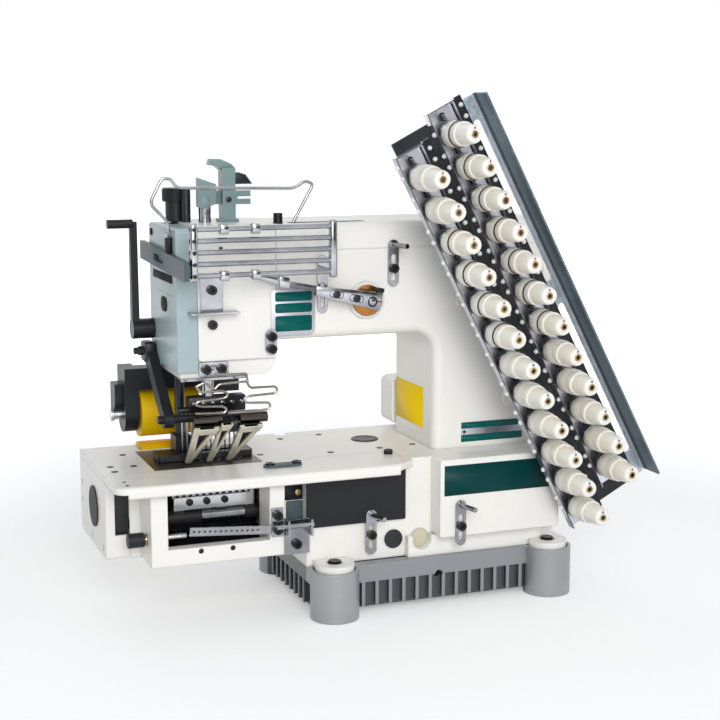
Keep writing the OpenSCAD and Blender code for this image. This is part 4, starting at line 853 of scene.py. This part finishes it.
def lever_slot(x, z, grow=0.0):
    shape = slab(round_corners(13 + grow, 5.4 + grow, 2.6 + grow / 2), 0.3 - grow * 0.1, 0)
    return placed(shape, TAKEUP @ at(x, LEVER_FRONT, z) @ LEVER_TILT @ FACING_FRONT)


lever = [lever_plate([(11.5, 8.5), (-57, 17.5), (-58, 8.8), (7.5, -9.5)], LEVER_BACK, LEVER_T),
         on_lever(button(3.5, 0.9), 0, LEVER_FRONT, 0),
         on_lever(rod(14.6, 6.0, 0.6), 0, HUB_BACK, 0),
         lever_plate([(-93, 27), (-114, 30), (-114, 26), (-93, 19)], -58.5, 4.0),
         lever_plate([(-84, 26.5), (-94, 29), (-94, 18), (-84, 16)], LEVER_BACK, 5.5)]
lever_arm = lever_plate([(-56, 17.5), (-86, 23.5), (-86, 17.5), (-56, 12)], LEVER_BACK - 0.5, 3.5)
lever_dark = [lever_slot(x, z, 1.4) for x, z in LEVER_SLOTS]
lever_dark += [on_lever(button(5.0, 0.4), 0, LEVER_FRONT, 0)]
lever_dark += [on_lever(button(3.7, 2.2), x, LEVER_FRONT, z) for x, z in LEVER_SLOTS]
lever_dark += [placed(block((8, 5.4, 4.2), 0.8), TAKEUP @ at(8.5, LEVER_FRONT + 2.4, 11) @ LEVER_TILT),
               on_lever(slab([(3.5, 0.5), (9.4, 0.1), (9.4, -0.8), (3.5, -0.4)], 0.2, 0), 0, LEVER_FRONT, 0)]
lever_shine = [lever_slot(x, z) for x, z in LEVER_SLOTS]
flange = on_lever(ring(6.0, 15.2, 0, 3.0, 0.4, 48), 0, HUB_BACK, 0)
take_up = piece("take_up", "take_up", [
    (joined(lever), CHROME), (lever_arm, DARK_STEEL), (joined(lever_dark), BLACKED),
    (joined(lever_shine), SILVER), (flange, BRONZE)])
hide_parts("take_up_lever")

# Grip ridges of the pressure knob

RIDGES, RIDGE_R = 40, 12.5
knob_low, knob_high = corners("pressure_knob")
knob_mid = (knob_low + knob_high) / 2
grip = at(knob_mid.x, knob_mid.y, knob_high.z - 6.6)
trim("pressure_grip", [placed(block((1.1, 1.3, 11.0), 0.3, 1),
                              grip @ Matrix.Rotation(math.tau * k / RIDGES, 4, "Z") @ at(RIDGE_R, 0, 0))
                       for k in range(RIDGES)], BLACK, "pressure")

# Stage

scene = bpy.context.scene
scene.view_settings.view_transform = "Standard"
AMBIENT = 0.48
AIM = (-0.06, 0.0, 0.22)


def seen_white(tree):
    """One for camera, mirror and glass rays, nought for the rest."""
    path = tree.nodes.new("ShaderNodeLightPath")
    total = path.outputs["Is Camera Ray"]
    for name in ("Is Glossy Ray", "Is Transmission Ray"):
        either = tree.nodes.new("ShaderNodeMath")
        either.operation = "MAXIMUM"
        tree.links.new(total, either.inputs[0])
        tree.links.new(path.outputs[name], either.inputs[1])
        total = either.outputs[0]
    return total


def backdrop(tree, colour, strength):
    node = tree.nodes.new("ShaderNodeBackground")
    node.inputs["Color"].default_value = colour
    node.inputs["Strength"].default_value = strength
    return node.outputs[0]


def studio_world():
    """White to the eye and in mirrors, dimmer as a light."""
    world = bpy.data.worlds.new("studio")
    world.use_nodes = True
    tree = world.node_tree
    tree.nodes.clear()
    mix = tree.nodes.new("ShaderNodeMixShader")
    out = tree.nodes.new("ShaderNodeOutputWorld")
    tree.links.new(seen_white(tree), mix.inputs[0])
    tree.links.new(backdrop(tree, (0.95, 0.97, 1.0, 1.0), AMBIENT), mix.inputs[1])
    tree.links.new(backdrop(tree, (1.0, 1.0, 1.0, 1.0), 1.0), mix.inputs[2])
    tree.links.new(mix.outputs[0], out.inputs[0])
    scene.world = world


def sheet_mesh(name, half_size, matrix=Matrix.Identity(4)):
    """Flat square mesh with a material of its own, and that material's tree and shader."""
    shape = bmesh.new()
    bmesh.ops.create_grid(shape, x_segments=1, y_segments=1, size=half_size, matrix=matrix)
    mesh = bpy.data.meshes.new(name)
    shape.to_mesh(mesh)
    shape.free()
    material = bpy.data.materials.new(name)
    material.use_nodes = True
    mesh.materials.append(material)
    return mesh, material.node_tree, material.node_tree.nodes["Principled BSDF"]


def studio_floor():
    """Pale floor that glows more with distance, so that it meets the backdrop without a line."""
    mesh, tree, shader = sheet_mesh("floor", 6.0)
    shader.inputs["Base Color"].default_value = (0.82, 0.82, 0.82, 1.0)
    shader.inputs["Roughness"].default_value = 0.9
    shader.inputs["Specular IOR Level"].default_value = 0.1
    shader.inputs["Emission Color"].default_value = (1.0, 1.0, 1.0, 1.0)
    place = tree.nodes.new("ShaderNodeTexCoord")
    span = tree.nodes.new("ShaderNodeVectorMath")
    span.operation = "LENGTH"
    tree.links.new(place.outputs["Object"], span.inputs[0])
    fade = tree.nodes.new("ShaderNodeMapRange")
    for socket, value in (("From Min", 0.5), ("From Max", 1.8), ("To Min", 0.30), ("To Max", 1.0)):
        fade.inputs[socket].default_value = value
    tree.links.new(span.outputs["Value"], fade.inputs["Value"])
    glow = tree.nodes.new("ShaderNodeMath")
    glow.operation = "MULTIPLY"
    tree.links.new(seen_white(tree), glow.inputs[0])
    tree.links.new(fade.outputs["Result"], glow.inputs[1])
    tree.links.new(glow.outputs[0], shader.inputs["Emission Strength"])
    floor = bpy.data.objects.new("floor", mesh)
    floor.location.z = -0.0005
    scene.collection.objects.link(floor)


def aimed(holder, place, aim, axis):
    """Sets an object at a place, with an axis of its own turned to an aim."""
    holder.location = place
    holder.rotation_mode = "QUATERNION"
    holder.rotation_quaternion = (Vector(aim) - Vector(place)).to_track_quat(axis, "Y")
    scene.collection.objects.link(holder)


def softbox(name, place, size, power):
    lamp = bpy.data.lights.new(name, "AREA")
    lamp.size = size
    lamp.energy = power
    aimed(bpy.data.objects.new(name, lamp), place, AIM, "-Z")


def dark_flag(name, place, width, height):
    """Dark sheet beside the camera that only mirrors see, so that bright metal has something to reflect."""
    mesh, _, shader = sheet_mesh(name, 0.5, Matrix.Diagonal((width, height, 1, 1)))
    shader.inputs["Base Color"].default_value = (0.03, 0.03, 0.035, 1.0)
    shader.inputs["Roughness"].default_value = 0.9
    sheet = bpy.data.objects.new(name, mesh)
    for way in ("camera", "diffuse", "transmission", "shadow", "volume_scatter"):
        setattr(sheet, f"visible_{way}", False)
    aimed(sheet, place, AIM, "Z")


studio_world()
studio_floor()
softbox("key", (-0.6, -2.55, 1.2), 1.4, 44)
softbox("fill", (2.1, -1.5, 1.1), 1.6, 8)
softbox("back", (-0.2, 1.9, 2.0), 1.8, 8)
dark_flag("flag_right", (1.5, -2.4, 0.55), 2.2, 0.7)
dark_flag("flag_left", (-2.3, -1.0, 0.55), 1.8, 0.7)

# Camera

AZIMUTH, ELEVATION = math.radians(-21.0), math.radians(9.3)
camera = bpy.data.objects.new("photo_camera", bpy.data.cameras.new("photo_camera"))
camera.data.lens = 73.75
camera.data.sensor_width = 36.0
camera.location = (-0.5879, -1.3821, 0.480)
camera.rotation_mode = "QUATERNION"
outward = Vector((math.sin(AZIMUTH) * math.cos(ELEVATION), -math.cos(AZIMUTH) * math.cos(ELEVATION),
                  math.sin(ELEVATION)))
camera.rotation_quaternion = (-outward).to_track_quat("-Z", "Y")
scene.collection.objects.link(camera)
scene.camera = camera
